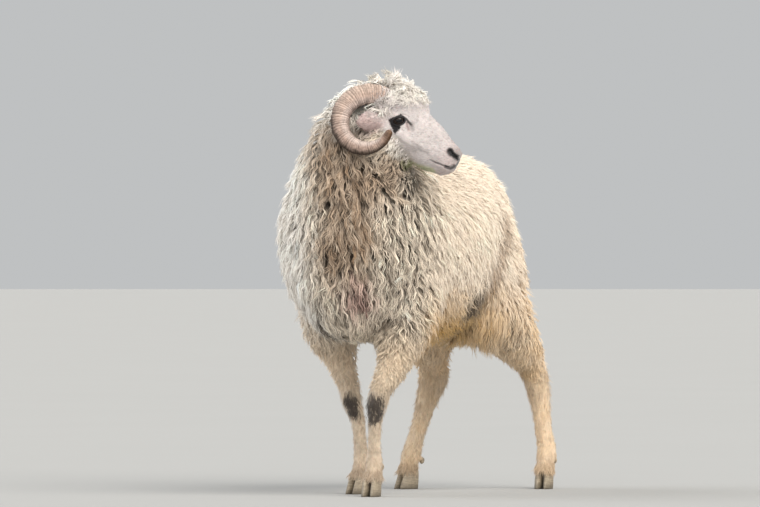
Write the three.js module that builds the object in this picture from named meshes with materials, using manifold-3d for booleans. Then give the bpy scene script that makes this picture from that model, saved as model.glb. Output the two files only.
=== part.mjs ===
// A life-size ram of a long-woolled mountain breed, standing with its head raised and
// turned over its left shoulder. Millimetres, +Z up; the ram faces -Y and its left side is +X.
//
// The woolly body is one smooth distance field made of blended limbs and blobs. Each named
// part of it is that field meshed inside its own region, and the regions meet at thin flat
// cuts. Shins and hooves are bent cylinders; horns and ears are bent spheres.
import * as THREE from "three";
import { mergeVertices } from "three/addons/utils/BufferGeometryUtils.js";
import Module from "manifold-3d";

const wasm = await Module();
wasm.setup();
const { degToRad, clamp, lerp } = THREE.MathUtils;

// ---- driving dimensions -------------------------------------------------------------------
const GAP = 0.35; // clearance between two parts that meet
const CLAW_HEIGHT = 40; // the hoof horn, from the sole to the coronet
const CLAW_LENGTH = 58;
const CLAW_WIDTH = 20;
const HORN_CURL = 57; // radius of the horn's curl
const HORN_BASE = 22; // radius of the horn where it leaves the skull
const EAR_LENGTH = 96;
const EAR_WIDTH = 50;
const EYE_RADIUS = 14;
const HEAD_PITCH = 33; // degrees that the face slopes below the horizontal
const HEAD_TURN = 110; // degrees that the head is turned from straight ahead to the left
const KNEE_CUT = 252; // height of the cut between wool and shin on a foreleg
const HOCK_CUT = 266;

// The neck's centre line: x, y, z and the radius with its wool.
const NECK = [
  [0, -20, 560, 165],
  [10, -66, 625, 140],
  [22, -104, 685, 112],
  [31, -114, 750, 98],
  [50, -98, 802, 84],
];

// Each leg from the shoulder or thigh down: x, y, z, half width and half depth. The joint
// at the height of the cut starts the shin; toe is the angle that the foot turns outwards.
const LEGS = {
  foreleg_left: {
    toe: 12,
    sole: [62, -92],
    joints: [
      [100, 6, 500, 84, 84],
      [112, -6, 372, 62, 62],
      [106, -46, 318, 48, 48],
      [94, -74, KNEE_CUT, 32, 34],
      [81, -82, 222, 22, 26],
      [73, -85, 195, 20, 23],
      [67, -81, 162, 14, 17],
      [62, -76, 120, 12.5, 14],
      [59, -71, 88, 15, 16],
      [58, -70, 72, 18, 19],
      [60, -76, 54, 17, 18],
      [61, -82, CLAW_HEIGHT, 18, 19],
    ],
  },
  foreleg_right: {
    toe: -6,
    sole: [-50, 40],
    joints: [
      [-100, 10, 500, 84, 84],
      [-112, 24, 360, 60, 60],
      [-98, 44, 300, 38, 40],
      [-84, 54, KNEE_CUT, 25, 28],
      [-74, 54, 222, 20, 24],
      [-66, 50, 195, 19, 22],
      [-56, 56, 162, 14, 17],
      [-52, 59, 120, 12.5, 14],
      [-50, 61, 88, 15, 16],
      [-49, 60, 72, 17, 18],
      [-49, 55, 54, 16, 17],
      [-50, 50, CLAW_HEIGHT, 18, 19],
    ],
  },
  hindleg_left: {
    toe: 14,
    sole: [131, 549],
    joints: [
      [82, 388, 480, 96, 96],
      [96, 384, 420, 84, 84],
      [106, 440, 348, 62, 62],
      [112, 500, 300, 44, 48],
      [113, 528, HOCK_CUT, 32, 38],
      [114, 546, 238, 26, 36],
      [115, 556, 212, 23, 32],
      [118, 562, 175, 19, 23],
      [122, 566, 130, 18, 19],
      [127, 571, 92, 20, 21],
      [128, 569, 72, 21, 23],
      [129, 562, 54, 19, 20],
      [130, 556, CLAW_HEIGHT, 19, 20],
    ],
  },
  hindleg_right: {
    toe: -14,
    sole: [-131, 395],
    joints: [
      [-82, 380, 480, 96, 96],
      [-92, 352, 420, 82, 82],
      [-90, 405, 345, 60, 60],
      [-94, 446, 300, 43, 47],
      [-100, 468, HOCK_CUT, 31, 37],
      [-106, 476, 238, 26, 36],
      [-112, 471, 212, 23, 32],
      [-117, 456, 175, 19, 23],
      [-122, 436, 130, 17, 19],
      [-126, 420, 92, 19, 21],
      [-128, 414, 72, 21, 22],
      [-129, 407, 54, 19, 20],
      [-130, 402, CLAW_HEIGHT, 19, 20],
    ],
  },
};
const cutOf = (name) => (name.startsWith("fore") ? KNEE_CUT : HOCK_CUT);
const sideOf = (name) => (name.endsWith("left") ? 1 : -1);

// ---- distance fields ----------------------------------------------------------------------
// A chain of round cones through joints of x, y, z and one or two half widths.
function limb(joints) {
  const ends = joints.map(([x, y, z, r, depth = r]) => ({
    at: new THREE.Vector3(x, y, z),
    r: (r + depth) / 2,
  }));
  const along = new THREE.Vector3();
  const from = new THREE.Vector3();
  return (p) => {
    let nearest = Infinity;
    for (let i = 1; i < ends.length; i++) {
      const [a, b] = [ends[i - 1], ends[i]];
      along.subVectors(b.at, a.at);
      from.subVectors(p, a.at);
      const t = clamp(from.dot(along) / along.lengthSq(), 0, 1);
      const radius = lerp(a.r, b.r, t);
      nearest = Math.min(nearest, from.addScaledVector(along, -t).length() - radius);
    }
    return nearest;
  };
}

// An ellipsoid.
function blob([cx, cy, cz], [rx, ry, rz]) {
  return (p) => {
    const [x, y, z] = [(p.x - cx) / rx, (p.y - cy) / ry, (p.z - cz) / rz];
    const near = Math.hypot(x, y, z);
    const slope = Math.hypot(x / rx, y / ry, z / rz);
    return slope > 0 ? (near * (near - 1)) / slope : -Math.min(rx, ry, rz);
  };
}

// The union of fields, with fillets about k wide where they meet.
function blend(k, ...fields) {
  return (p) =>
    fields.reduce((d, field) => {
      const e = field(p);
      const h = Math.max(k - Math.abs(d - e), 0) / k;
      return Math.min(d, e) - (h * h * k) / 4;
    }, 1e3);
}

// A shape given on its +X side, on both sides of X = 0.
const mirrored = (field) => {
  const q = new THREE.Vector3();
  return (p) => field(q.set(Math.abs(p.x), p.y, p.z));
};

// ---- the head, in its own frame: facing -Y, left +X, up +Z, origin between the eyes ---------
const headFrame = new THREE.Matrix4().compose(
  new THREE.Vector3(121, -90, 810),
  new THREE.Quaternion().setFromEuler(
    new THREE.Euler(degToRad(HEAD_PITCH), 0, degToRad(HEAD_TURN), "ZYX"),
  ),
  new THREE.Vector3(1, 1, 1),
);
const toHead = headFrame.clone().invert();

const face = blend(
  14,
  limb([[0, -15, 22, 33], [0, -90, 15, 26], [0, -142, 1, 21]]), // forehead and nose bridge
  limb([[0, -25, -12, 44], [0, -95, -17, 32], [0, -146, -12, 25]]), // upper jaw
  limb([[0, -10, -44, 30], [0, -100, -41, 21], [0, -149, -35, 15]]), // lower jaw
  blob([0, 30, -5], [47, 62, 52]), // cranium
);
const features = mirrored(
  blend(
    10,
    blob([30, -8, -38], [20, 46, 38]), // cheek
    blob([29, -15, 13], [19, 26, 20]), // brow over the eye
    blob([13, -153, 3], [12, 14, 12]), // wing of the nostril
    blob([11, -150, -22], [14, 21, 11]), // lip
  ),
);
const headWool = blend(
  20,
  blob([0, 8, 45], [50, 60, 38]), // forelock
  blob([0, 60, 4], [54, 50, 46]), // poll
);
const headField = blend(16, face, features, headWool);

// ---- the whole body -------------------------------------------------------------------------
const trunk = blend(
  70,
  blob([0, -20, 545], [172, 182, 200]), // chest and shoulders
  blob([0, 190, 548], [186, 240, 203]), // barrel
  blob([0, 392, 552], [136, 162, 196]), // rump
);
const underline = blend(
  50,
  blob([0, -92, 432], [72, 84, 92]), // brisket
  blob([0, 205, 440], [142, 180, 112]), // belly
  blob([0, 430, 385], [38, 46, 76]), // pouch between the thighs
);
const tail = limb([
  [0, 500, 690, 36],
  [0, 545, 655, 37],
  [0, 572, 560, 34],
  [2, 580, 470, 30],
  [4, 578, 390, 20],
]);
const legFields = Object.values(LEGS).map(({ joints }) => limb(joints));
const bodyField = blend(34, blend(60, trunk, underline, limb(NECK)), tail, ...legFields);
const inHead = new THREE.Vector3();
const whole = blend(
  30,
  bodyField,
  (p) => headField(inHead.copy(p).applyMatrix4(toHead)),
);

// ---- meshing a field ------------------------------------------------------------------------
// A grid cell's corners are numbered by their bits; an edge is its low corner and its axis.
const EDGES = [];
for (let m = 0; m < 8; m++)
  for (let axis = 0; axis < 3; axis++)
    if (!((m >> axis) & 1)) EDGES.push({ from: m, to: m | (1 << axis), id: m * 3 + axis });
const FACES = [];
for (let axis = 0; axis < 3; axis++)
  for (let m = 0; m <= 1 << axis; m += 1 << axis) {
    const [b, c] = [(axis + 1) % 3, (axis + 2) % 3];
    const [mb, mc] = [m | (1 << b), m | (1 << c)];
    const round = [m * 3 + b, mb * 3 + c, mc * 3 + b, m * 3 + c];
    FACES.push({ corners: [mb, mb | mc, mc, m], round });
  }

// The crossed edges of one cell, in groups that each belong to one sheet of the surface.
function sheetsOf(inside) {
  const crossed = EDGES.filter(({ from, to }) => inside[from] !== inside[to]);
  const sheet = new Map(crossed.map(({ id }) => [id, id]));
  const join = (a, b) => {
    const [kept, lost] = [sheet.get(a), sheet.get(b)];
    for (const [id, of] of sheet) if (of === lost) sheet.set(id, kept);
  };
  for (const { corners, round } of FACES) {
    const cut = round.filter((id) => sheet.has(id));
    if (cut.length === 2) join(...cut);
    if (cut.length === 4)
      corners.forEach((corner, n) => inside[corner] && join(round[n], round[(n + 1) % 4]));
  }
  const sheets = new Map();
  for (const edge of crossed) {
    const key = sheet.get(edge.id);
    sheets.set(key, [...(sheets.get(key) ?? []), edge]);
  }
  return [...sheets.values()];
}

// Surface nets: one vertex for each sheet of surface in a grid cell, moved onto the surface.
function meshOf(field, low, high, cell) {
  const size = low.map((v, i) => Math.ceil((high[i] - v) / cell) + 1);
  const p = new THREE.Vector3();
  const at = (i, j, k) => (k * size[1] + j) * size[0] + i;
  const onRim = (i, n) => i === 0 || i === n - 1;
  const values = new Float64Array(size[0] * size[1] * size[2]);
  for (let k = 0; k < size[2]; k++)
    for (let j = 0; j < size[1]; j++)
      for (let i = 0; i < size[0]; i++) {
        p.set(low[0] + i * cell, low[1] + j * cell, low[2] + k * cell);
        const rim = onRim(i, size[0]) || onRim(j, size[1]) || onRim(k, size[2]);
        values[at(i, j, k)] = rim ? Math.max(field(p), cell / 2) : field(p);
      }

  const vertexOf = new Map();
  const points = [];
  const slope = new THREE.Vector3();
  const step = cell / 50;
  for (let k = 0; k < size[2] - 1; k++)
    for (let j = 0; j < size[1] - 1; j++)
      for (let i = 0; i < size[0] - 1; i++) {
        const v = [];
        for (let m = 0; m < 8; m++)
          v.push(values[at(i + (m & 1), j + ((m >> 1) & 1), k + (m >> 2))]);
        const inner = [i, j, k].every((n, axis) => n > 0 && n < size[axis] - 2);
        for (const sheet of sheetsOf(v.map((d) => d < 0))) {
          p.set(0, 0, 0);
          for (const { from, to, id } of sheet) {
            const t = v[from] / (v[from] - v[to]);
            p.x += (from & 1) + (id % 3 === 0 ? t : 0);
            p.y += ((from >> 1) & 1) + (id % 3 === 1 ? t : 0);
            p.z += (from >> 2) + (id % 3 === 2 ? t : 0);
            vertexOf.set(at(i, j, k) * 24 + id, points.length / 3);
          }
          p.divideScalar(sheet.length);
          p.set(low[0] + (i + p.x) * cell, low[1] + (j + p.y) * cell, low[2] + (k + p.z) * cell);
          for (let turn = 0; inner && turn < 2; turn++) {
            const d = field(p);
            slope.set(
              field(p.clone().setX(p.x + step)) - d,
              field(p.clone().setY(p.y + step)) - d,
              field(p.clone().setZ(p.z + step)) - d,
            );
            const steep = slope.lengthSq() / (step * step);
            const move = clamp(d / Math.max(steep, 0.25), -cell / 3, cell / 3);
            p.addScaledVector(slope, -move / step);
          }
          points.push(p.x, p.y, p.z);
        }
      }

  const index = [];
  for (let k = 0; k < size[2] - 1; k++)
    for (let j = 0; j < size[1] - 1; j++)
      for (let i = 0; i < size[0] - 1; i++)
        for (let axis = 0; axis < 3; axis++) {
          const here = [i, j, k];
          const next = here.map((n, m) => n + (m === axis ? 1 : 0));
          const inside = values[at(...here)] < 0;
          if (inside === values[at(...next)] < 0) continue;
          const [b, c] = [(axis + 1) % 3, (axis + 2) % 3];
          const round = [[1, 1], [0, 1], [0, 0], [1, 0]].map(([db, dc]) => {
            const owner = [...here];
            owner[b] -= db;
            owner[c] -= dc;
            return vertexOf.get(at(...owner) * 24 + ((db << b) | (dc << c)) * 3 + axis);
          });
          const [w, x, y, z] = inside ? round : round.reverse();
          index.push(w, x, y, w, y, z);
        }
  const geometry = new THREE.BufferGeometry();
  geometry.setAttribute("position", new THREE.Float32BufferAttribute(points, 3));
  geometry.setIndex(index);
  return geometry;
}

// ---- joining and cutting --------------------------------------------------------------------
function solidOf(geometry) {
  const bare = new THREE.BufferGeometry();
  bare.setAttribute("position", geometry.getAttribute("position"));
  bare.setIndex(geometry.index);
  const merged = mergeVertices(bare, 1e-3);
  return new wasm.Manifold(
    new wasm.Mesh({
      numProp: 3,
      vertProperties: merged.getAttribute("position").array,
      triVerts: new Uint32Array(merged.index.array),
    }),
  );
}

function geometryOf(solid) {
  const { numProp, vertProperties, triVerts } = solid.getMesh();
  const points = [];
  for (let i = 0; i < vertProperties.length; i += numProp)
    points.push(...vertProperties.subarray(i, i + 3));
  const geometry = new THREE.BufferGeometry();
  geometry.setAttribute("position", new THREE.Float32BufferAttribute(points, 3));
  geometry.setIndex(new THREE.BufferAttribute(new Uint32Array(triVerts), 1));
  geometry.computeVertexNormals();
  return geometry;
}

// A plane through point; its normal points to the side that is kept.
const plane = (point, normal) => ({
  point: new THREE.Vector3(...point),
  normal: new THREE.Vector3(...normal).normalize(),
});

// The convex region on the kept side of every plane, drawn in from each plane by inset.
function regionOf(planes, inset) {
  const reach = 2000;
  return planes
    .map(({ point, normal }) => {
      const block = new THREE.BoxGeometry(2 * reach, 2 * reach, reach);
      block.translate(0, 0, reach / 2 + inset);
      block.applyQuaternion(
        new THREE.Quaternion().setFromUnitVectors(new THREE.Vector3(0, 0, 1), normal),
      );
      block.translate(point.x, point.y, point.z);
      return solidOf(block);
    })
    .reduce((kept, block) => kept.intersect(block));
}

// The largest body of a solid, without the slivers that a cut can leave.
function largest(solid) {
  const bodies = solid.decompose();
  return bodies.reduce((a, b) => (b.volume() > a.volume() ? b : a));
}

// ---- the cuts between the parts of the body ---------------------------------------------------
const fromHead = (v) => new THREE.Vector3(...v).applyMatrix4(headFrame);
const throat = fromHead([0, -69, -103]);
const nape = fromHead([0, 124, -9]);
const acrossHead = fromHead([1, 0, 0]).sub(fromHead([0, 0, 0]));
const neckCut = plane([0, 40, 735], [0, -0.57, 0.82]);
const headRegion = [
  { point: nape, normal: acrossHead.clone().cross(nape.clone().sub(throat)).normalize() },
  plane([throat.x, throat.y, throat.z - 30], [0, -0.35, 0.94]),
  plane([0, 8, 0], [0, -1, 0]),
  neckCut,
];
const tailRegion = [
  plane([0, 541, 640], [0, 0.99, -0.1]),
  plane([-46, 0, 0], [1, 0, 0]),
  plane([46, 0, 0], [-1, 0, 0]),
];

// The region of each upper leg: under the trunk, beside the brisket or the pouch.
function upperLegRegion(name) {
  const side = sideOf(name);
  const cut = plane([0, 0, cutOf(name)], [0, 0, 1]);
  if (name.startsWith("fore"))
    return [
      cut,
      plane([0, 0, 402], [side * 0.25, 0, -1]),
      plane([side * 40, 0, 0], [side, 0, 0]),
      plane([0, 128, 402], [0, -1, -0.35]),
    ];
  return [
    cut,
    plane([0, 440, 440], [side * 0.3, -0.12, -1]),
    plane([side * 41, 0, 0], [side, 0, 0]),
    plane([0, 300, 410], [0, 0.8, -0.6]),
  ];
}

// ---- bent cylinders and spheres ---------------------------------------------------------------
// Moves every point of a geometry to where bend sends it.
function bent(geometry, bend) {
  const at = geometry.getAttribute("position");
  const p = new THREE.Vector3();
  for (let i = 0; i < at.count; i++) {
    bend(p.fromBufferAttribute(at, i), i);
    at.setXYZ(i, p.x, p.y, p.z);
  }
  return geometry;
}

// A shin: a cylinder whose level rings follow the joints under the cut.
function shinGeometry({ joints, toe }, top) {
  const under = joints.filter(([, , z]) => z <= top).reverse();
  const centres = new THREE.CatmullRomCurve3(
    under.map(([x, y, z]) => new THREE.Vector3(x, y, z)), false, "catmullrom", 0.4,
  );
  const widths = new THREE.CatmullRomCurve3(
    under.map(([, , z, w, d]) => new THREE.Vector3(w, d, z)), false, "catmullrom", 0.4,
  );
  const turn = degToRad(toe);
  const shin = new THREE.CylinderGeometry(1, 1, 1, 10, 2 * under.length - 5);
  shin.rotateX(Math.PI / 2);
  shin.translate(0, 0, 0.5);
  return bent(shin, (p) => {
    const centre = centres.getPoint(p.z);
    const half = widths.getPoint(p.z);
    const [across, ahead] = [p.x * half.x, p.y * half.y];
    const z = clamp(centre.z, CLAW_HEIGHT + GAP / 2, top - GAP / 2);
    p.set(
      centre.x + across * Math.cos(turn) - ahead * Math.sin(turn),
      centre.y + across * Math.sin(turn) + ahead * Math.cos(turn),
      z,
    );
  });
}

// One claw: a cylinder drawn out to a toe, smaller at the coronet than at the flat sole.
function clawGeometry(side) {
  const claw = new THREE.CylinderGeometry(1, 1, 1, 10, 1);
  claw.rotateX(Math.PI / 2);
  claw.translate(0, 0, 0.5);
  return bent(claw, (p) => {
    const rise = p.z;
    const toe = Math.max(-p.y, 0);
    const width = (CLAW_WIDTH / 2) * (1 - 0.42 * toe ** 2) * (1 - 0.08 * rise);
    const length = (CLAW_LENGTH / 2) * (1 - 0.3 * rise);
    p.set(
      p.x * width + side * (CLAW_WIDTH / 2 + 0.8 - 2 * toe),
      p.y * length + 10 * rise,
      rise * (CLAW_HEIGHT - GAP / 2),
    );
  });
}

function dewclawGeometry() {
  const claw = new THREE.SphereGeometry(1, 7, 4);
  claw.scale(5.5, 6.5, 9);
  return claw;
}

// The horn's centre line in the head's frame: out of the skull, back, down and forward.
class HornCurve extends THREE.Curve {
  constructor(side) {
    super();
    this.side = side;
  }
  getPoint(t, target = new THREE.Vector3()) {
    const turn = degToRad(-12 + 296 * t);
    const out = 33 + 57 * Math.sin((Math.PI / 2) * Math.min(1, 1.7 * t)) + 20 * t * t;
    return target.set(
      this.side * out,
      34 + HORN_CURL * Math.sin(turn),
      -31 + HORN_CURL * Math.cos(turn),
    );
  }
}

// A closed tube: the latitudes of a sphere carried along the horn's curve.
function hornGeometry(side, extra = 0) {
  const curve = new HornCurve(side);
  const [sides, steps] = [10, 17];
  const frames = curve.computeFrenetFrames(steps, false);
  return bent(new THREE.SphereGeometry(1, sides, steps), (p, i) => {
    const row = Math.floor(i / (sides + 1));
    const turn = -((i % (sides + 1)) % sides) * ((2 * Math.PI) / sides);
    const t = row / steps;
    const end = row === 0 || row === steps;
    const radius = end ? 0 : HORN_BASE * (1 - 0.65 * t ** 2.35) + extra;
    curve.getPointAt(t, p);
    p.addScaledVector(frames.normals[row], radius * Math.cos(turn));
    p.addScaledVector(frames.binormals[row], radius * 0.9 * Math.sin(turn));
  }).applyMatrix4(headFrame);
}

// An ear: a flattened sphere, widest near its base and cupped towards the front.
function earGeometry(side, extra = 0) {
  const ear = bent(new THREE.SphereGeometry(1, 10, 8), (p) => {
    const width = EAR_WIDTH / 2 + extra;
    const narrowing = 1 - 0.28 * p.y * p.y + 0.16 * p.y;
    const cup = 9 * p.x * p.x;
    p.set(
      p.x * width * narrowing,
      p.y * (EAR_LENGTH / 2 + extra) - EAR_LENGTH / 2,
      p.z * (4.2 + extra) + cup,
    );
  });
  const along = new THREE.Vector3(0.8, 0.44, -0.405).normalize();
  const across = new THREE.Vector3(0, -0.545, -0.839).normalize();
  const out = new THREE.Vector3().crossVectors(across, along.clone().negate());
  across.crossVectors(along.clone().negate(), out).normalize();
  const [left, down] = [along, out.normalize()];
  ear.applyMatrix4(
    new THREE.Matrix4().makeBasis(across, left.clone().negate(), down).setPosition(36, 3, -4),
  );
  if (side < 0) {
    ear.scale(-1, 1, 1);
    const order = ear.index.array;
    for (let i = 0; i < order.length; i += 3)
      [order[i], order[i + 1]] = [order[i + 1], order[i]];
  }
  return ear.applyMatrix4(headFrame);
}

function eyeGeometry(side, extra = 0) {
  const eye = new THREE.SphereGeometry(EYE_RADIUS + extra, 10, 7);
  eye.translate(side * 42, -15, 3);
  return eye.applyMatrix4(headFrame);
}

// ---- the pieces -------------------------------------------------------------------------------
const FINISHES = {
  wool: { color: 0xcbb99f, roughness: 0.95 },
  face: { color: 0xe3d6cb, roughness: 0.85 },
  shin: { color: 0xcdb698, roughness: 0.88 },
  horn: { color: 0xb89a84, roughness: 0.6 },
  hoof: { color: 0x8d7a64, roughness: 0.55 },
  eye: { color: 0x120d0a, roughness: 0.08 },
};
const sheep = new THREE.Group();
sheep.name = "sheep";

function place(name, finish, geometry, parent = sheep) {
  const material = new THREE.MeshStandardMaterial({ metalness: 0, ...FINISHES[finish] });
  material.name = finish;
  const mesh = new THREE.Mesh(geometry, material);
  mesh.name = name;
  parent.add(mesh);
  return mesh;
}

// What stands out of the head: the head and neck are hollowed to hold it.
const SIDES = [["left", 1], ["right", -1]];
const sockets = SIDES.flatMap(([, side]) => [
  solidOf(hornGeometry(side, GAP)),
  solidOf(earGeometry(side, 4 * GAP)),
  solidOf(eyeGeometry(side, GAP)),
]);
const hollowed = (solid) => sockets.reduce((left, socket) => left.subtract(socket), solid);

function buildTrunk() {
  let solid = solidOf(meshOf(bodyField, [-262, -290, 280], [262, 690, 850], 47));
  solid = solid.subtract(regionOf([neckCut], -GAP / 2));
  solid = solid.subtract(regionOf(tailRegion, -GAP / 2));
  for (const name of Object.keys(LEGS))
    solid = solid.subtract(regionOf(upperLegRegion(name), -GAP / 2));
  place("trunk", "wool", geometryOf(largest(solid)));
}

function buildNeck() {
  const solid = solidOf(meshOf(whole, [-260, -300, 480], [260, 130, 940], 39));
  const rest = solid.intersect(regionOf([neckCut], GAP / 2));
  const clear = rest.subtract(regionOf(headRegion, -GAP / 2));
  place("neck", "wool", geometryOf(largest(hollowed(clear))));
}

function buildHead() {
  const solid = solidOf(meshOf(whole, [-60, -260, 600], [310, 110, 940], 14.2));
  const head = largest(solid.intersect(regionOf(headRegion, GAP / 2)));
  place("head", "face", geometryOf(largest(hollowed(head))));
}

function buildTail() {
  const solid = solidOf(meshOf(bodyField, [-110, 440, 340], [110, 680, 780], 24));
  place("tail", "wool", geometryOf(largest(solid.intersect(regionOf(tailRegion, GAP / 2)))));
}

function buildUpperLeg(name) {
  const { joints } = LEGS[name];
  const xs = joints.map(([x]) => x);
  const ys = joints.map(([, y]) => y);
  const low = [Math.min(...xs) - 130, Math.min(...ys) - 140, cutOf(name) - 60];
  const high = [Math.max(...xs) + 130, Math.max(...ys) + 140, 600];
  const solid = solidOf(meshOf(whole, low, high, 33));
  const region = regionOf(upperLegRegion(name), GAP / 2);
  place(`${name}_upper`, "wool", geometryOf(largest(solid.intersect(region))));
}

function buildFoot(name) {
  const { sole, toe, joints } = LEGS[name];
  const foot = new THREE.Group();
  foot.position.set(...sole, 0);
  foot.rotation.z = degToRad(toe);
  sheep.add(foot);
  let shin = solidOf(shinGeometry(LEGS[name], cutOf(name)));
  for (const [label, side] of SIDES) {
    place(`${name}_claw_${label}`, "hoof", clawGeometry(side), foot);
    const [x, y, , w, d] = joints.at(-3);
    const dewclaw = dewclawGeometry();
    dewclaw.rotateX(degToRad(-20));
    dewclaw.translate(side * 0.62 * w, 0.95 * d + 1, 62);
    dewclaw.rotateZ(degToRad(toe));
    dewclaw.translate(x, y, 0);
    shin = shin.subtract(solidOf(dewclaw));
    place(`${name}_dewclaw_${label}`, "hoof", dewclaw);
  }
  place(`${name}_lower`, "shin", geometryOf(largest(shin)));
}

buildTrunk();
buildNeck();
buildHead();
buildTail();
for (const name of Object.keys(LEGS)) {
  buildUpperLeg(name);
  buildFoot(name);
}
for (const [label, side] of SIDES) {
  place(`horn_${label}`, "horn", hornGeometry(side));
  place(`ear_${label}`, "face", earGeometry(side));
  place(`eye_${label}`, "eye", eyeGeometry(side));
}

// The origin is under the middle of the whole animal, on the ground.
const middle = new THREE.Box3().setFromObject(sheep).getCenter(new THREE.Vector3()).setZ(0);
for (const piece of sheep.children) piece.position.sub(middle);

export default sheep;
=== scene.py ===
"""A life-size long-woolled ram, head raised and turned over its left shoulder.

One skin is remeshed from the flesh nodes of the frame, drawn in by the depth of the coat and
given its folds, lids, nostrils and mouth. Wool locks and short hairs are joined meshes of
tapering strands that follow the lie of the coat. Metres, +Z up; the ram faces -Y.
"""

import itertools
import math

import bmesh
import bpy
import numpy as np
from bpy.props import FloatProperty, FloatVectorProperty, IntProperty, PointerProperty
from mathutils import Euler, Matrix, Vector
from mathutils.bvhtree import BVHTree


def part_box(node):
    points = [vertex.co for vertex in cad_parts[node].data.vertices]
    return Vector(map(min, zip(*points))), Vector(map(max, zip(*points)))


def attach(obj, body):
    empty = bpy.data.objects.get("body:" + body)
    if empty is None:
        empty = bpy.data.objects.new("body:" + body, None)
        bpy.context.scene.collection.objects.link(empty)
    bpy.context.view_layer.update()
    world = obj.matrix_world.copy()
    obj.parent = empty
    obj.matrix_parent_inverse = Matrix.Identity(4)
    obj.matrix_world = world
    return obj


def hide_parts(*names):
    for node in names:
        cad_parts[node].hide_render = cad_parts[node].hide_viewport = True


bl_info = {
    "name": "Woolly ram",
    "version": (1, 0, 0),
    "blender": (4, 5, 0),
    "location": "3D View > Sidebar > Ram",
    "description": "Skin, fleece, horns, eyes and hooves of a life-size ram",
    "category": "Object",
}

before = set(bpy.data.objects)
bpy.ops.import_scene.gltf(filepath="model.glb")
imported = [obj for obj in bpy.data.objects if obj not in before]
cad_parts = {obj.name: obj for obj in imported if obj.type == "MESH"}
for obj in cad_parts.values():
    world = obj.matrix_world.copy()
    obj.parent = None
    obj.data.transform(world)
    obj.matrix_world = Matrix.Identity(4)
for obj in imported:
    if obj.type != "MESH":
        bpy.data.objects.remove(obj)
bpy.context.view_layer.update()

BODY = "root"
SKIN_NAME = "skin"
BAKE_MAP = "OFBake"
MM = 0.001
SKIN_TRIANGLES = 142000
SIDES = ((1, "left"), (-1, "right"))
LEGS = [f"{end}leg_{side}" for end in ("fore", "hind") for side in ("left", "right")]
SHINS = [f"{leg}_lower" for leg in LEGS]
THIGHS = [f"{leg}_upper" for leg in LEGS]
EARS = ["ear_left", "ear_right"]
EYES = ["eye_left", "eye_right"]
FLESH = ["trunk", "neck", "tail", *THIGHS, "head", *EARS, *SHINS]

# The head has a frame of its own, in mm: x to its left, -y to its nose, z to its top.
HEAD_PITCH = math.radians(33)
HEAD_TURN = math.radians(110)
EYE_SPOT = np.array([42.0, -15.0, 3.0])  # of the left eye
EYE_RADIUS = 14.0
HORN_MIDDLE = np.array([0, 34.0, -31.0])  # the middle of both curls
HEAD_AXES = np.array(Euler((HEAD_PITCH, 0, HEAD_TURN), "XYZ").to_matrix())
HEAD_ORIGIN = np.mean([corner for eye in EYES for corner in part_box(eye)], axis=0)
HEAD_ORIGIN = HEAD_ORIGIN - HEAD_AXES @ (EYE_SPOT * (0, 1, 1) * MM)


# ---- settings ------------------------------------------------------------------------------
def colour_property(name, description, default):
    """A colour that a user would change."""
    return FloatVectorProperty(
        name=name, description=description, default=default, subtype="COLOR", min=0, max=1
    )


def length_property(name, description, default):
    """A length in metres that a user would change."""
    return FloatProperty(
        name=name, description=description, default=default, unit="LENGTH", min=0, precision=4
    )


def strength_property(name, description, default):
    """The strength of a light."""
    return FloatProperty(name=name, description=description, default=default, min=0)


class RamSkinSettings(bpy.types.PropertyGroup):
    """Sizes of the skin and its folds."""

    voxel: length_property("Mesh size", "Edge length of the face and shins", 0.0027)
    body_depth: length_property("Fleece depth", "How far the skin lies under the wool", 0.026)
    crown_depth: length_property("Topknot depth", "Wool depth on the top of the head", 0.013)
    shin_depth: length_property("Hair depth", "Hair depth on shins, face and ears", 0.001)
    lid_length: length_property("Eye opening", "Length of the slit between the lids", 0.026)
    lid_height: length_property("Lid gap", "Height of the opening between the lids", 0.0145)


class RamFleeceSettings(bpy.types.PropertyGroup):
    """Sizes of the wool locks and the short hair."""

    front_length: length_property("Front locks", "Lock length on the neck and chest", 0.060)
    side_length: length_property("Side locks", "Lock length on the flanks and rump", 0.043)
    leg_length: length_property("Leg locks", "Lock length at the top of the legs", 0.04)
    crown_length: length_property("Topknot curls", "Curl length on the top of the head", 0.024)
    hair_length: length_property("Short hair", "Hair length on the shins", 0.009)
    strand_width: length_property("Strand width", "Width of one strand of a lock", 0.0026)
    crimp: length_property("Crimp", "How far a strand waves to each side", 0.0034)
    seed: IntProperty(name="Seed", description="Start of the random draws", default=11)


class RamHornSettings(bpy.types.PropertyGroup):
    """Sizes of the horns."""

    curl: length_property("Curl radius", "Radius of the horn's curl", 0.057)
    base: length_property("Base radius", "Radius where the horn leaves the skull", 0.022)
    ring: length_property("Ring spacing", "Distance between the growth rings", 0.0052)


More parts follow.
